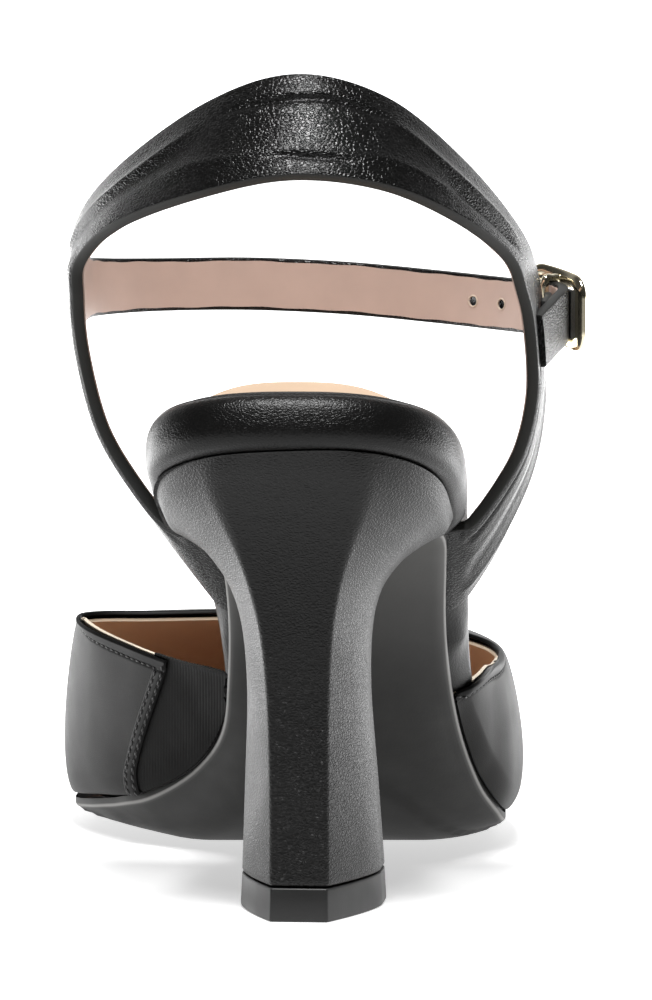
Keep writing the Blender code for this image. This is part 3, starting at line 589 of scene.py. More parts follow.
def makeSock():
    def form(y, across, part, inset):
        y, across = np.broadcast_arrays(np.asarray(y, float), np.asarray(across, float))
        out = seatLevel(y, across)
        toBreast = np.clip(y / last["breastY"], 0.0, 1.0)
        crown = sock["crown"] * (1.0 - smoothStep(out, *sock["crownFrom"])) * (1.0 - toBreast)
        height = planAt(y)[..., 7] + last["gap"] + part * (sock["thick"] + crown)
        return onSole(footbedLayer, y, across, height, inset, last["toeRoom"])

    def shade(y, across, part, points):  # the rim's leather is turned over the back of the seat
        return smoothStep(seatLevel(y, across), *sock["turned"]) * (1.0 - smoothStep(y, 4.0, 16.0))

    levels = [(0.0, 0.0), (0.4, 0.0), (0.7, 0.12), (0.88, 0.4), (1.0, 1.0)]
    levels = [(part, sock["inset"] + sock["edge"] * draw) for part, draw in levels]
    piece = slab("sockLining", form, soleStations(last["seatBackY"], sock["stations"]), levels, 41, shade)
    return dress(piece, finishes["sock"], "sock")


outsole = {
    "thick": 3.0,
    "skewRun": 24.0,
    "treadStep": 0.7,  # the forefoot tread stands this much below the waist
    "treadStart": 84.0,
    "treadBow": 0.0263,
    "corner": (6.5, 0.1),  # rounding of the two rear corners, along the shoe and as a share of the width
    "highlightLineAt": -1.7,  # painted highlight: pale line along the trimmed edge, where its rounding catches the light
    "waistLight": 0.2,  # painted light: the upper waist is coloured paler than the tread, in place of the light it catches
    "stations": 190,
}


def makeOutsole():
    thick = outsole["thick"]

    def form(y, across, height, inset):
        y, across = np.broadcast_arrays(np.asarray(y, float), np.asarray(across, float))
        nearBreast = np.maximum(0.0, 1.0 - (y - last["breastY"]) / outsole["skewRun"])
        long, share = outsole["corner"]
        turn = np.clip(1.0 - (y - last["breastY"]) / long, 0.0, 1.0)
        across = across * (1.0 - share * (1.0 - np.sqrt(1.0 - turn ** 2)))
        x = onSole(outsoleLayer, y, across, height, inset)[..., 0]
        y = y - (x - heelCentreX(y)) * math.tan(last["heelYaw"]) * nearBreast
        front = y - outsole["treadStart"] - outsole["treadBow"] * x ** 2
        under = np.clip((-height - 1.0) / (thick - 1.0), 0.0, 1.0)
        step = outsole["treadStep"] * under * (1.0 - smoothStep(front, 0.0, 0.6))
        return onSole(outsoleLayer, y, across, height + step, inset)

    def shade(y, across, height, points):
        # painted light up the waist, and a painted highlight along the edge line
        litWaist = outsole["waistLight"] * smoothStep(points[..., 2], 30.0, 66.0)
        return np.maximum(bell(height, outsole["highlightLineAt"], 0.4), litWaist)

    levels = [(-thick, 1.8), (-2.7, 1.0), (-2.3, 0.5), (-1.9, 0.2), (-1.5, 0.04), (-1.1, 0.0), (-0.05, 0.0)]
    stations = soleStations(last["breastY"] + 0.6, outsole["stations"])
    piece = slab("outsoleRubber", form, stations, levels, 41, shade)
    return dress(piece, finishes["outsole"], "outsole", 40.0)


makeRim()
makeSock()
makeOutsole()
print("sole layers made")

# Vamp
vamp = {
    # side, lower edge along the shoe, how far it stands out, top line x y z, swell, roof roundness, lift
    "rows": [
        (-1, 70.8, 0.1, -16.5, 70.6, 36.0, 0.0, 1.6, 0.0),
        (-1, 79.0, 0.9, -20.9, 78.6, 36.1, 0.4, 1.6, 0.0),
        (-1, 90.0, 1.4, -27.0, 89.8, 36.6, 0.8, 1.6, 0.0),
        (-1, 103.0, 1.4, -36.0, 102.0, 38.8, 1.3, 1.6, 0.1),
        (-1, 119.0, 1.0, -44.0, 114.0, 40.9, 1.6, 1.8, 0.8),
        (-1, 138.0, 0.6, -45.6, 121.5, 42.2, 1.5, 2.4, 1.0),
        (-1, 158.0, 0.6, -41.5, 126.3, 42.4, 1.8, 2.5, 0.8),
        (-1, 182.0, 0.6, -32.0, 128.0, 42.3, 1.8, 2.3, 0.7),
        (-1, 203.0, 0.6, -18.5, 127.6, 42.6, 1.4, 2.0, 0.6),
        (-1, 214.0, 0.6, -6.0, 126.2, 42.9, 1.0, 1.9, 0.6),
        (1, 203.0, 0.6, 6.0, 124.2, 42.5, 1.4, 2.0, 0.6),
        (1, 182.0, 0.6, 16.5, 121.6, 41.7, 1.8, 2.3, 0.7),
        (1, 158.0, 0.6, 25.6, 118.0, 40.0, 2.2, 2.7, 0.8),
        (1, 136.0, 0.8, 32.2, 112.6, 38.5, 2.4, 3.0, 0.8),
        (1, 117.0, 1.0, 34.7, 106.5, 37.4, 2.4, 3.2, 0.5),
        (1, 100.0, 1.2, 34.6, 98.5, 36.7, 1.6, 3.0, 0.1),
        (1, 89.0, 2.0, 33.6, 88.4, 36.2, 0.9, 2.4, 0.0),
        (1, 81.5, 2.0, 31.9, 80.8, 35.0, 0.4, 1.9, 0.0),
        (1, 77.0, 1.2, 29.6, 76.8, 33.9, 0.1, 1.4, 0.0),
        (1, 74.2, 0.3, 26.4, 74.0, 32.4, 0.0, 1.1, 0.0),
    ],
    "swellLow": 0.62,
    "tuck": 4.5,  # the lowest part turns in to the edge of the outsole
    "tuckOut": 0.4,
    "seamFoot": 3.08,  # row where the elastic meets the leather, at the lower edge and at the top line
    "seamTop": 2.16,
    "rowLength": 15.3,  # millimetres in one row beside the seam
    "leather": 1.0,
    "lining": 0.55,
    "edgeRound": 0.45,
    "margin": (0.3, 2.0, 4.0),  # steps inwards of the edge that is lasted in over the outsole
    "marginLift": 0.5,
    "marginThick": 0.0006,  # metres
    "fold": 2.3,  # width of the folded top edge
    "foldSwell": 0.55,
    "stitchTop": 2.6,
    "stitchStrip": (0.7, 2.75),
    "columns": 230,
    "rowsBelow": 60,
}


def vampTable():
    rows = np.array(vamp["rows"])
    side = rows[:, 0]
    y = np.minimum(rows[:, 1], last["toeY"] - 0.01)
    foot = onSole(outsoleLayer, y, side, rows[:, 8])
    lead = np.maximum(0.0, (y - last["ballY"]) / (last["toeY"] - last["ballY"]))
    outX = side * np.sqrt(np.maximum(0.0, 1.0 - lead ** 4))
    outY = lead ** 2
    footX = foot[:, 0] + outX * rows[:, 2]
    footY = y + outY * rows[:, 2]
    return np.column_stack([footX, footY, foot[:, 2], rows[:, 3:6], outX, outY, rows[:, 6:8], rows[:, 2]])


vampRows = vampTable()


def vampPoint(at, rise):  # outside of the vamp, rise running from its lower edge to its top line
    c = readTable(vampRows, at)
    power = 2.0 / c[..., 9]
    over = 1.0 - np.cos(rise * np.pi / 2) ** power
    up = np.sin(rise * np.pi / 2) ** power
    swell = c[..., 8] * np.sin(np.pi * up ** vamp["swellLow"])
    low = 1.0 - np.clip(up * (c[..., 5] - c[..., 2]) / vamp["tuck"], 0.0, 1.0)
    swell = swell - np.maximum(0.0, c[..., 10] - vamp["tuckOut"]) * low ** 1.6
    x = c[..., 0] + (c[..., 3] - c[..., 0]) * over + c[..., 6] * swell
    y = c[..., 1] + (c[..., 4] - c[..., 1]) * over + c[..., 7] * swell
    return np.stack([x, y, c[..., 2] + (c[..., 5] - c[..., 2]) * up], -1)


def seamAt(rise):
    height = np.sin(rise * np.pi / 2) ** (2.0 / vamp["rows"][0][7])
    return vamp["seamFoot"] + (vamp["seamTop"] - vamp["seamFoot"]) * height


# rows at set distances from the top line, then evenly to the lower edge
def vampSheet(columnsAt, fromTop, below):
    rises = (0.5 - 0.5 * np.cos(np.linspace(np.pi, 0.0, 260)))[:, None]
    dense = vampPoint(columnsAt(rises), rises)
    steps = np.linalg.norm(np.diff(dense, axis=0), axis=-1)
    depth = np.vstack([np.zeros(dense.shape[1]), np.cumsum(steps, axis=0)])
    sheet = np.empty((len(fromTop) + below, dense.shape[1], 3))
    down = np.empty(sheet.shape[:2])
    for j in range(dense.shape[1]):
        near = fromTop * min(1.0, 0.8 * depth[-1, j] / fromTop[-1])
        down[:, j] = np.concatenate([near, np.linspace(near[-1], depth[-1, j], below + 1)[1:]])
        for k in range(3):
            sheet[:, j, k] = np.interp(down[:, j], depth[:, j], dense[:, j, k])
    return sheet, down


def roundedEdge(distance, radius):  # how far the surface drops towards a rounded edge
    left = np.clip(radius - distance, 0.0, radius)
    return radius - np.sqrt(radius ** 2 - left ** 2)


def makeMargin(name, edge, normals, steps):  # lower edge turned in over the outsole
    rows = np.stack([edge - normals * (step, step, 0.0) for step in steps])
    piece = layGrid(name, rows + (0.0, 0.0, vamp["marginLift"]))
    return applyModifier(piece, "SOLIDIFY", thickness=vamp["marginThick"], offset=0.0)


def makeVamp():
    strip = np.arange(0.0, 4.5, 0.22)
    rest = np.linspace(0.0, 1.0, vamp["columns"] + 1)[1:]
    lastRow = len(vamp["rows"]) - 1
    edge = strip[-1] / vamp["rowLength"]

    def columnsAt(rise):
        seam = seamAt(rise)
        beside = seam + strip[None, :] / vamp["rowLength"]
        return np.concatenate([beside, seam + edge + (lastRow - seam - edge) * rest[None, :]], 1)

    fromTop = np.arange(0.0, 4.8, 0.2)
    sheet, down = vampSheet(columnsAt, fromTop, vamp["rowsBelow"])
    side = np.concatenate([strip, np.full(len(rest), 99.0)])[None, :]
    normals = gridNormals(sheet)
    fold = vamp["foldSwell"] * np.sqrt(np.clip(1.0 - ((down - 1.1) / 1.35) ** 2, 0.0, 1.0))
    sewn = vamp["foldSwell"] * 0.8 * np.sqrt(np.clip(1.0 - ((side - 1.6) / 2.1) ** 4, 0.0, 1.0))
    puff = np.maximum(fold, sewn) - 0.2 * bell(down, vamp["stitchTop"], 0.4)
    for row in vamp["stitchStrip"]:
        puff = puff - 0.16 * bell(side, row, 0.3) * (down > vamp["fold"])
    puff = puff * smoothStep(down[-1], 0.5, 6.0)
    puff = puff - roundedEdge(down, vamp["edgeRound"]) - roundedEdge(side, 0.4)
    skin = sheet + normals * puff[..., None]
    piece = layGrid("vampLeather", skin)
    besideSeam = 0.6 * (1.0 - smoothStep(side, 3.0, 3.4))
    mark(piece, "edge", np.maximum(1.0 - smoothStep(down, 2.3, 2.5), besideSeam))
    applyModifier(piece, "SOLIDIFY", thickness=vamp["leather"] * 0.001, offset=-1.0)
    turnedIn = makeMargin("vampMargin", skin[-1], normals[-1], vamp["margin"])
    dress(turnedIn, finishes["vamp"])
    dress(piece, finishes["vamp"], "vamp")
    inner = (sheet - normals * (vamp["leather"] - 0.05))[2:-4, ::2]
    lining = layGrid("vampLining", inner)
    mark(lining, "fromTop", down[2:-4, ::2])
    applyModifier(lining, "SOLIDIFY", thickness=vamp["lining"] * 0.001, offset=-1.0)
    dress(lining, finishes["vampLining"])
    return skin, normals, down, side


gore = {
    "below": 0.55,
    "thick": 0.8,
    "rib": 1.15,
    "ribDepth": 0.15,
    "ribWay": (-2.1, 0.0),  # the ribs stand upright, each in a plane across the shoe's width
    "tuck": 0.3,
    "margin": (0.9, 2.0, 3.2),
    "columns": 250,
}


def makeGore():
    t = np.linspace(0.0, 1.0, gore["columns"])[None, :]

    def columnsAt(rise):
        return (seamAt(rise) + gore["tuck"]) * t

    sheet, down = vampSheet(columnsAt, np.arange(0.0, 1.3, 0.2), 40)
    run = sheet[..., 0] * gore["ribWay"][0] + sheet[..., 1] * gore["ribWay"][1]
    ribs = gore["ribDepth"] * np.abs(np.sin(np.pi * run / gore["rib"])) ** 0.7
    sink = ribs - gore["below"] - roundedEdge(down, 0.35)
    normals = gridNormals(sheet)
    piece = layGrid("goreRibbing", sheet + normals * sink[..., None])
    applyModifier(piece, "SOLIDIFY", thickness=gore["thick"] * 0.001, offset=-1.0)
    turnedIn = makeMargin("goreMargin", sheet[-1], normals[-1], gore["margin"])
    dress(turnedIn, finishes["elastic"])
    return dress(piece, finishes["elastic"], "elastic_gore")


vampSkin, vampNormals, vampDown, vampSide = makeVamp()
makeGore()
print("vamp made")

# Ankle band and front strap
strap = {"thick": 2.0, "front": 1.9, "lining": 0.3, "liningInset": 0.45, "edgeBulge": 0.22}
band = {
    # rear, lower edge x y z and front, upper edge x y z, from under the rim on the inner side round
    # the back to under the rim on the outer side
    "rows": [
        (-17.5, 43.5, 65.9, -14.5, 60.5, 49.6), (-21.8, 43.5, 66.4, -16.8, 60.5, 50.6),
        (-27.0, 43.5, 67.6, -19.6, 60.5, 54.0), (-33.0, 42.0, 75.0, -28.6, 60.5, 66.0),
        (-38.6, 41.0, 85.0, -37.4, 60.5, 79.0), (-41.9, 40.0, 98.0, -42.7, 61.0, 95.0),
        (-42.8, 38.5, 108.0, -43.6, 61.0, 109.0), (-42.1, 36.0, 115.2, -43.0, 56.0, 120.6),
        (-34.8, 23.5, 122.2, -35.0, 37.5, 131.4), (-19.5, 12.2, 128.0, -18.5, 24.8, 143.5),
        (-4.0, 8.0, 131.0, -3.0, 20.0, 148.4), (12.0, 10.4, 129.2, 12.5, 22.8, 144.2),
        (25.2, 18.0, 123.4, 26.0, 31.0, 133.0), (34.4, 29.0, 116.2, 36.0, 43.5, 120.8),
        (37.4, 36.0, 109.2, 39.7, 53.6, 112.4), (38.9, 40.0, 102.0, 41.2, 60.0, 102.0),
        (39.4, 41.5, 91.0, 41.0, 61.0, 87.5), (37.3, 42.5, 81.0, 38.9, 61.0, 75.0),
        (33.3, 43.3, 73.6, 33.6, 60.8, 62.5), (28.6, 43.5, 67.4, 28.0, 60.5, 53.3),
        (25.8, 43.5, 66.4, 25.0, 60.5, 50.4), (22.8, 43.5, 65.9, 22.2, 60.5, 49.6),
    ],
    "padding": 0.3,
    # soft creases and ridges, listed one by one: height, width across the band, then places along and across
    # it
    "creases": [
        (-0.85, 0.032, [(9.3, 0.77), (9.9, 0.75), (10.5, 0.78), (10.95, 0.74)]),
        (0.55, 0.075, [(11.0, 0.735), (11.3, 0.69), (11.55, 0.645), (11.8, 0.615), (12.4, 0.56),
                       (13.0, 0.55)]),
        (0.5, 0.075, [(6.6, 0.6), (7.4, 0.6), (7.95, 0.6), (8.3, 0.63), (8.55, 0.67), (8.9, 0.74)]),
        (-0.65, 0.03, [(9.75, 0.2), (10.2, 0.175), (10.65, 0.17)]),
        (0.4, 0.08, [(8.5, 0.34), (8.85, 0.32), (9.1, 0.28), (9.4, 0.245), (9.8, 0.23)]),
        (0.4, 0.08, [(10.6, 0.23), (10.85, 0.26), (11.1, 0.28), (11.9, 0.28)]),
        (-0.7, 0.07, [(11.8, 0.36), (12.35, 0.33), (12.6, 0.32), (13.1, 0.3)]),
        (-0.35, 0.12, [(7.0, 0.4), (7.6, 0.42), (8.3, 0.46), (8.9, 0.52)]),
        (0.3, 0.05, [(15.6, 0.06), (16.4, 0.06), (17.4, 0.06), (18.6, 0.06), (19.6, 0.07)]),
        (-0.65, 0.035, [(15.4, 0.155), (16.2, 0.15), (17.2, 0.15), (18.4, 0.15), (19.4, 0.16)]),
        (0.4, 0.12, [(15.2, 0.36), (16.4, 0.34), (17.6, 0.33), (18.6, 0.36), (19.4, 0.4)]),
        (-0.45, 0.07, [(16.2, 0.62), (17.2, 0.6), (18.2, 0.6), (19.3, 0.62)]),
        (0.5, 0.06, [(15.6, 0.86), (16.8, 0.84), (18.0, 0.82), (18.8, 0.8), (19.5, 0.8)]),
        (0.45, 0.035, [(1.4, 0.05), (3.2, 0.05), (5.6, 0.05)]),
        (0.7, 0.16, [(5.4, 0.12), (6.2, 0.12), (7.0, 0.12)]),
        (-0.6, 0.05, [(1.6, 0.17), (3.0, 0.16), (4.2, 0.16), (5.6, 0.17)]),
    ],
    "steps": 16,
}
bandRows = np.array(band["rows"])


def bandPoint(at, a):
    row = readTable(bandRows, at)
    return row[..., :3] + (row[..., 3:] - row[..., :3]) * np.asarray(a)[..., None]


frontStrap = {
    # middle line x y z and width, from the inner bend of the band through the buckle to the tip
    "rows": [
        (-43.4, 53.0, 109.2, 11.0), (-43.6, 61.0, 109.0, 16.0), (-42.9, 67.0, 108.7, 11.6),
        (-39.6, 76.0, 108.5, 10.2), (-29.0, 85.5, 108.4, 9.5), (-12.0, 90.8, 108.3, 9.5),
        (6.0, 90.4, 107.5, 9.5), (22.5, 85.2, 106.2, 9.5), (33.6, 76.8, 105.4, 9.5),
        (39.8, 69.1, 105.1, 9.5), (44.1, 64.9, 105.0, 9.5), (45.5, 58.9, 104.2, 9.5),
        (43.4, 52.0, 102.3, 9.5), (40.7, 44.4, 100.1, 9.5),
    ],
    "steps": 14,
    "holeX": (30.2, 35.5, 39.9),  # where the holes are along the strap
    "hole": 0.95,
}


def strapPoint(at, a):
    row = readTable(frontStrap["rows"], at)
    top = len(frontStrap["rows"]) - 1
    ahead = readTable(frontStrap["rows"], np.minimum(at + 0.02, top))[..., :3]
    behind = readTable(frontStrap["rows"], np.maximum(at - 0.02, 0.0))[..., :3]
    run = unit(ahead - behind)
    up = unit(np.array((0.0, 0.0, 1.0)) - run * run[..., 2:])
    return row[..., :3] + up * row[..., 3:] * (np.asarray(a) - 0.5)[..., None]


def beltFrame(surface, at, a, top):
    step = 0.004
    here = np.clip(a, step, 1.0 - step)
    point = surface(at, a)
    ahead = surface(np.minimum(at + step, top), here) - surface(np.maximum(at - step, 0.0), here)
    across = surface(at, here + step) - surface(at, here - step)
    return point, unit(np.cross(ahead, across)), unit(across)


def beltPiece(name, surface, top, rows, half, lift, sign):  # closed strap with rounded, painted edges
    at = np.linspace(0.0, top, rows)[:, None]
    turn = np.radians(np.linspace(72.0, -72.0, 7))
    even = np.linspace(0.0, 1.0, 81)
    outer = 0.45 * even + 0.55 * (0.5 - 0.5 * np.cos(np.pi * even))
    inner = np.linspace(1.0, 0.0, 15)
    a = np.concatenate([outer, np.ones(7), inner, np.zeros(7), outer[:1]])[None, :]
    past = strap["edgeBulge"] * np.cos(turn)
    extra = np.concatenate([0 * outer, past, 0 * inner, -past, [0.0]])
    height = [half + 0 * outer, half * np.sin(turn), -half + 0 * inner, -half * np.sin(turn), [half]]
    height = np.concatenate(height)
    edge = np.concatenate([[1.0], 0 * outer[2:], [1.0], np.ones(7), 0 * inner, np.ones(7), [1.0]])
    at, a = np.broadcast_arrays(at, a)
    point, normal, across = beltFrame(surface, at, a, top)
    isOuter = np.concatenate([np.ones(81), np.zeros(30)])
    rise = height + np.where(isOuter > 0, lift(at, a), 0.0)
    points = point + across * extra[:, None] + normal * (sign * rise)[..., None]
    piece = layGrid(name, points)
    mark(piece, "edge", np.broadcast_to(edge, at.shape))
    return mend(piece, fill=True)


# thin lining on the inner face, just short of the edges
def liningPiece(name, surface, first, top, rows, half, sign):
    at = np.linspace(first, top, rows)[:, None]
    width = np.linalg.norm(surface(at, 1.0 + 0 * at) - surface(at, 0.0 * at), axis=-1)
    inset = strap["liningInset"] / width
    waver = 0.12 / width * np.sin(at * 9.0) * np.sin(at * 3.7 + 1.0)
    a = (inset + waver) + (1.0 - 2.0 * inset) * np.linspace(0.0, 1.0, 13)[None, :]
    at, a = np.broadcast_arrays(at, a)
    end = len(frontStrap["rows"]) - 1 if surface is strapPoint else top
    point, normal, _ = beltFrame(surface, at, a, end)
    points = point - normal * sign * (half - 0.05)
    if sign < 0:
        points = points[:, ::-1]
    piece = layGrid(name, points)
    applyModifier(piece, "SOLIDIFY", thickness=strap["lining"] * 0.001, offset=1.0)
    return piece


def bandLift(at, a):
    total = band["padding"] * np.sin(np.pi * a) ** 0.6
    for height, width, places in band["creases"]:
        along, across = np.array(places).T
        shape = np.exp(-np.abs((a - np.interp(at, along, across)) / width) ** (1.3 if height > 0 else 2.0))
        ends = smoothStep(at, along[0] - 0.2, along[0] + 0.4)
        ends = ends * (1.0 - smoothStep(at, along[-1] - 0.4, along[-1] + 0.2))
        total = total + height * ends * shape
    nearEdge = np.clip(np.minimum(a, 1.0 - a) / 0.02, 0.0, 1.0)
    return total * nearEdge


def strapLift(at, a):
    return 0.18 * np.sin(np.pi * a) ** 0.5


def makeBand():
    top = len(bandRows) - 1
    half = strap["thick"] / 2
    piece = beltPiece("ankleBand", bandPoint, float(top), top * band["steps"], half, bandLift, 1.0)
    dress(piece, finishes["band"], "ankle_band", 70.0)
    lining = liningPiece("bandLining", bandPoint, 2.0, float(top) - 2.0, 200, half, 1.0)
    dress(lining, finishes["strapLining"])


def makeFrontStrap():
    top = len(frontStrap["rows"]) - 1
    half = strap["front"] / 2
    piece = beltPiece("frontStrap", strapPoint, float(top), top * frontStrap["steps"], half, strapLift, -1.0)
    lining = liningPiece("frontStrapLining", strapPoint, 0.6, float(top) - 0.02, 160, half, -1.0)
    places = np.linspace(5.0, 10.0, 400)
    line = strapPoint(places, np.full(400, 0.5))
    for number, x in enumerate(frontStrap["holeX"]):
        k = int(np.argmin(np.abs(line[:, 0] - x)))
        _, normal, _ = beltFrame(strapPoint, places[k:k + 1], np.array([0.5]), top)
        punchHole(Vector(toFrame(line[k])), Vector(normal[0]), (piece, lining))
        face = line[k] + normal[0] * (half + strap["lining"] - 0.05)
        makeHoleEdge(Vector(toFrame(face)), Vector(normal[0]), number)
    dress(piece, finishes["band"], None, 70.0)
    dress(lining, finishes["strapLining"])


def facing(place, direction):
    return Matrix.Translation(place) @ direction.to_track_quat("Z", "Y").to_matrix().to_4x4()


def punchHole(place, direction, pieces):
    bpy.ops.object.select_all(action="DESELECT")
    bpy.ops.mesh.primitive_cylinder_add(vertices=24, radius=frontStrap["hole"] * 0.001, depth=0.008)
    punch = bpy.context.active_object
    punch.matrix_world = facing(place, direction)
    for piece in pieces:
        applyModifier(piece, "BOOLEAN", operation="DIFFERENCE", object=punch)
    bpy.data.objects.remove(punch)


def makeHoleEdge(place, direction, number):  # cut edge of the lining round a hole
    bpy.ops.object.select_all(action="DESELECT")
    bpy.ops.mesh.primitive_torus_add(major_segments=28, minor_segments=8,
                                     major_radius=frontStrap["hole"] * 0.00108, minor_radius=0.00016)
    ring = bpy.context.active_object
    ring.name = "holeEdge" + str(number)
    ring.data.transform(facing(place, direction))
    dress(ring, finishes["holeEdge"])


makeBand()
makeFrontStrap()
print("band and strap made")

# Buckle
buckle = {
    "middle": (43.4, 64.4, 105.2),
    "turn": math.radians(-48.0),
    "fall": 0.2,  # the frame tips down to the rear with the strap
    "long": 12.6,
    "tall": 11.2,
    "corner": 2.2,
    "stand": 1.5,  # of the frame's ends off the strap
    "dome": 1.2,
    "bar": (1.45, 0.8),  # half width and half thickness of the frame's bar
    "middleBar": 0.8,
    "middleBarDeep": -1.4,
    "prong": 0.62,
}


def bucklePoint(along, out, up):  # along the strap to the rear, out from the ankle, and up
    c = math.cos(buckle["turn"])
    s = math.sin(buckle["turn"])
    x, y, z = buckle["middle"]
    return np.stack(np.broadcast_arrays(x + c * along - s * out, y + s * along + c * out,
                                        z + up - buckle["fall"] * along), -1)


def tubePiece(name, path, outward, halfWide, halfThick, closed):
    if closed:
        path = np.vstack([path, path[:1]])
        outward = np.vstack([outward, outward[:1]])
    run = np.gradient(path, axis=0)
    if closed:
        run[0] = run[-1] = path[1] - path[-2]
    run = unit(run)
    wide = unit(np.cross(run, outward))
    out = unit(np.cross(wide, run))
    angle = np.linspace(0.0, 2 * np.pi, 21)[None, :, None]
    points = path[:, None] + wide[:, None] * halfWide * np.cos(angle)
    points = points + out[:, None] * halfThick * np.sin(angle)
    return mend(layGrid(name, points), fill=not closed)


def domeOut(along):
    return buckle["stand"] + buckle["dome"] * (1.0 - (2.0 * along / buckle["long"]) ** 2)


def makeBuckle():
    halfLong = buckle["long"] / 2
    halfTall = buckle["tall"] / 2
    corner = buckle["corner"]
    outline = []
    for quarter, (sx, sz) in enumerate(((1, 1), (-1, 1), (-1, -1), (1, -1))):
        for angle in np.linspace(0.0, 1.0, 9) * np.pi / 2 + quarter * np.pi / 2:
            outline.append((sx * (halfLong - corner) + corner * math.cos(angle),
                            sz * (halfTall - corner) + corner * math.sin(angle)))
    outline = np.array(outline + outline[:1])
    run = np.concatenate([[0.0], np.cumsum(np.linalg.norm(np.diff(outline, axis=0), axis=1))])
    even = np.linspace(0.0, run[-1], 121)[:-1]
    along = np.interp(even, run, outline[:, 0])
    up = np.interp(even, run, outline[:, 1])
    path = bucklePoint(along, domeOut(along), up)
    outward = np.broadcast_to(bucklePoint(0.0, 1.0, 0.0) - bucklePoint(0.0, 0.0, 0.0), path.shape)
    hoop = tubePiece("buckleFrame", path, outward, buckle["bar"][0], buckle["bar"][1], True)
    rail = halfTall - 0.2
    deep = buckle["middleBarDeep"]
    turns = [(domeOut(0.0), rail), (0.6, rail), (deep, rail - 0.5), (deep, 0.0),
             (deep, 0.5 - rail), (0.6, -rail), (domeOut(0.0), -rail)]
    spots = readTable([(out, z) for out, z in turns], np.linspace(0.0, len(turns) - 1, 60))
    barPath = bucklePoint(0.0, spots[:, 0], spots[:, 1])
    alongWay = bucklePoint(1.0, 0.0, 0.0) - bucklePoint(0.0, 0.0, 0.0)
    bar = tubePiece("buckleBar", barPath, np.broadcast_to(alongWay, barPath.shape), buckle["middleBar"],
                    buckle["middleBar"], False)
    dress(hoop, finishes["gold"], "buckle_frame")
    dress(bar, finishes["gold"])
    over = domeOut(-halfLong) + buckle["bar"][1] + buckle["prong"] + 0.1
    turns = [(0.6, 3.0), (-1.9, 3.3), (-5.0, over), (-halfLong - 0.9, over)]
    spots = readTable(turns, np.linspace(0.0, 3.0, 40))
    prongPath = bucklePoint(spots[:, 0], spots[:, 1], 0.0)
    prong = tubePiece("buckleProng", prongPath, np.broadcast_to(outward[0], prongPath.shape), buckle["prong"],
                      buckle["prong"], False)
    dress(prong, finishes["gold"], "buckle_prong")


tab = {  # rows along the strap and out from the ankle
    "rows": [(7.0, -8.8), (4.6, -5.6), (2.6, -2.9), (0.9, -1.5)],
    "width": 7.0,
    "drop": 0.6,
    "thick": 1.3,
}


def tabPoint(at, a):
    row = readTable(tab["rows"], at)
    return bucklePoint(row[..., 0], row[..., 1], tab["width"] * (np.asarray(a) - 0.5) - tab["drop"])


def makeTab():
    piece = beltPiece("buckleTab", tabPoint, 3.0, 40, tab["thick"] / 2, strapLift, 1.0)
    dress(piece, finishes["tab"], "buckle_tab", 70.0)


keeper = {  # leather under the frame
    "rows": [(-3.0, 0.1), (0.0, 0.2), (3.0, 0.2), (5.8, 0.2)],
    "width": 8.6,
    "thick": 1.1,
}


def keeperPoint(at, a):
    row = readTable(keeper["rows"], at)
    return bucklePoint(row[..., 0], row[..., 1], keeper["width"] * (np.asarray(a) - 0.5))


def makeKeeper():
    piece = beltPiece("strapKeeper", keeperPoint, 3.0, 40, keeper["thick"] / 2, strapLift, -1.0)
    dress(piece, finishes["tab"], None, 70.0)


makeBuckle()
makeTab()
makeKeeper()
print("buckle made")

# Stitching
stitch = {"pitch": 1.8, "long": 1.3, "wide": 0.26, "high": 0.26, "proud": 0.08}


def stitchLine(name, points, normals):  # one stitch copied along a line on the leather
    run = np.concatenate([[0.0], np.cumsum(np.linalg.norm(np.diff(points, axis=0), axis=1))])
    places = np.arange(stitch["pitch"] / 2, run[-1], stitch["pitch"])
    bpy.ops.object.select_all(action="DESELECT")
    bpy.ops.mesh.primitive_uv_sphere_add(segments=8, ring_count=6, radius=0.001)
    first = bpy.context.active_object
    size = Matrix.Diagonal((stitch["long"] / 2, stitch["wide"], stitch["high"], 1.0))
    copies = []
    for place in places:
        spot = np.array([np.interp(place, run, points[:, k]) for k in range(3)])
        ahead = np.array([np.interp(place + 0.2, run, points[:, k]) for k in range(3)]) - spot
        normal = np.array([np.interp(place, run, normals[:, k]) for k in range(3)])
        ahead = Vector(ahead).normalized()
        side = Vector(normal).cross(ahead).normalized()
        up = ahead.cross(side)
        turn = Matrix((ahead, side, up)).transposed().to_4x4()
        copy = first.copy()
        copy.data = first.data.copy()
        spot = spot + normal * stitch["proud"]
        copy.data.transform(Matrix.Translation(Vector(toFrame(spot))) @ turn @ size)
        bpy.context.collection.objects.link(copy)
        copies.append(copy)
    bpy.data.objects.remove(first)
    piece = joinPieces(name, copies)
    return dress(piece, finishes["thread"])


def makeStitches():
    row = int(np.argmin(np.abs(vampDown[:, 0] - vamp["stitchTop"])))
    cols = vampSide[0] > vamp["stitchStrip"][1] - 0.1
    stitchLine("topLineStitches", vampSkin[row][cols], vampNormals[row][cols])
    for name, place in zip(("stripStitchesRear", "stripStitchesFront"), vamp["stitchStrip"]):
        col = int(np.argmin(np.abs(vampSide[0] - place)))
        rows = vampDown[:, col] > (0.8 if place < 1.0 else vamp["stitchTop"])
        stitchLine(name, vampSkin[rows, col], vampNormals[rows, col])


makeStitches()
print("stitches made")

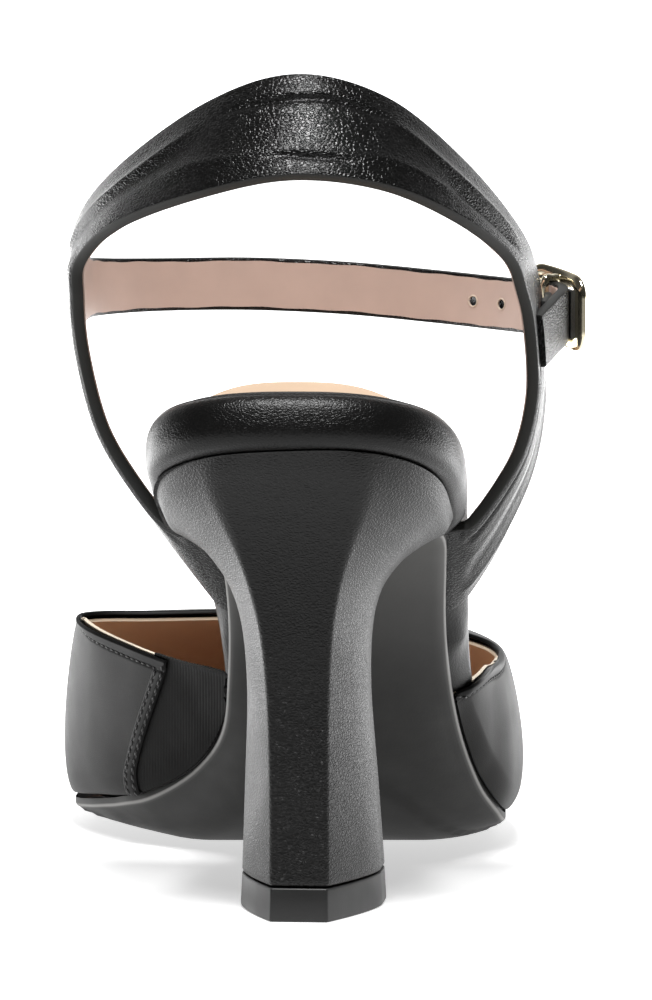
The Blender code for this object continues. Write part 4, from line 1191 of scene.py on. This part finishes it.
# Floor, light and camera
studio = {
    "floor": 30.0,
    "floorColour": (0.9, 0.9, 0.9),
    "glow": (0.05, 1.8),  # painted light: the floor's own glow, on the camera's side and beyond the shoe
    "sideLightPools": (3.3, 2.4),  # painted pools of light: the floor glows brighter to the left and to the right of the shoe, in place of side lamps
    # direction along y and brightness there: dim on the camera's side, white beyond the shoe
    "room": [(-1.0, 0.03), (-0.4, 0.04), (0.1, 0.06), (0.55, 0.3), (0.8, 1.1), (1.0, 2.2)],
    "softbox": {"places": [(-0.09, -0.45, 1.1), (0.09, -0.45, 1.1)], "aim": (0.0, -0.05, 0.13),
                "size": (0.1, 0.35), "power": 7.5},
    "camera": (0.0013, -1.304, 0.1704),
    "pitch": 4.56,
    "lens": 247.0,
}


def makeStudio():
    bpy.ops.object.select_all(action="DESELECT")
    bpy.ops.mesh.primitive_plane_add(size=studio["floor"])
    floor = bpy.context.active_object
    floor.name = "studioFloor"
    pale = (*studio["floorColour"], 1.0)
    finish = newFinish("paleFloor", studio["floorColour"], 0.7, Emission_Color=pale)
    spot = addNode(finish, "SeparateXYZ", {0: objectPoint(finish)}).outputs
    # the floor's emission is painted light: pools of glow stand in for lamps beside and beyond the shoe
    glow = {0: spot["Y"], 1: -0.35, 2: 0.5, 3: studio["glow"][0], 4: studio["glow"][1]}
    glow = addNode(finish, "MapRange", glow, interpolation_type="SMOOTHSTEP").outputs[0]
    beside = {0: spot["Y"], 1: -0.25, 2: 0.05}
    beside = addNode(finish, "MapRange", beside, interpolation_type="SMOOTHSTEP").outputs[0]
    for way, most in zip((-1.0, 1.0), studio["sideLightPools"]):
        reach = {0: spot["X"], 1: 0.08 * way, 2: 0.22 * way, 3: 0.0, 4: most}
        side = addNode(finish, "MapRange", reach, interpolation_type="SMOOTHSTEP").outputs[0]
        glow = mathNode(finish, "MULTIPLY_ADD", side, beside, glow)
    wire(finish, glow, "Emission Strength")
    floor.data.materials.append(finish)
    world = bpy.data.worlds.new("studioWorld")
    world.use_nodes = True
    bpy.context.scene.world = world
    nodes = world.node_tree.nodes
    links = world.node_tree.links
    place = nodes.new("ShaderNodeTexCoord")
    split = nodes.new("ShaderNodeSeparateXYZ")
    share = nodes.new("ShaderNodeMapRange")
    share.inputs[1].default_value = -1.0
    ramp = nodes.new("ShaderNodeValToRGB").color_ramp
    ramp.interpolation = "EASE"
    most = max(light for _, light in studio["room"])
    while len(ramp.elements) < len(studio["room"]):
        ramp.elements.new(0.5)
    for element, (along, light) in zip(ramp.elements, studio["room"]):
        element.position = (along + 1.0) / 2
        element.color = (light / most, light / most, light / most, 1.0)
    links.new(place.outputs["Generated"], split.inputs[0])
    links.new(split.outputs["Y"], share.inputs[0])
    links.new(share.outputs[0], nodes["Color Ramp"].inputs[0])
    links.new(nodes["Color Ramp"].outputs[0], nodes["Background"].inputs["Color"])
    nodes["Background"].inputs["Strength"].default_value = most
    box = studio["softbox"]
    for spot in box["places"]:
        bpy.ops.object.light_add(type="AREA", location=spot)
        lamp = bpy.context.active_object
        lamp.data.shape = "RECTANGLE"
        lamp.data.size, lamp.data.size_y = box["size"]
        lamp.data.energy = box["power"]
        aim = Vector(box["aim"]) - Vector(spot)
        lamp.rotation_euler = aim.to_track_quat("-Z", "Y").to_euler()
    view = bpy.data.cameras.new("camera")
    view.lens = studio["lens"]
    view.clip_end = 100.0
    camera = bpy.data.objects.new("camera", view)
    camera.location = studio["camera"]
    camera.rotation_euler = (math.radians(90.0 - studio["pitch"]), 0.0, 0.0)
    bpy.context.scene.collection.objects.link(camera)
    bpy.context.scene.camera = camera
    bpy.context.scene.view_settings.view_transform = "Standard"


makeStudio()
print("studio made")

bpy.context.view_layer.update()
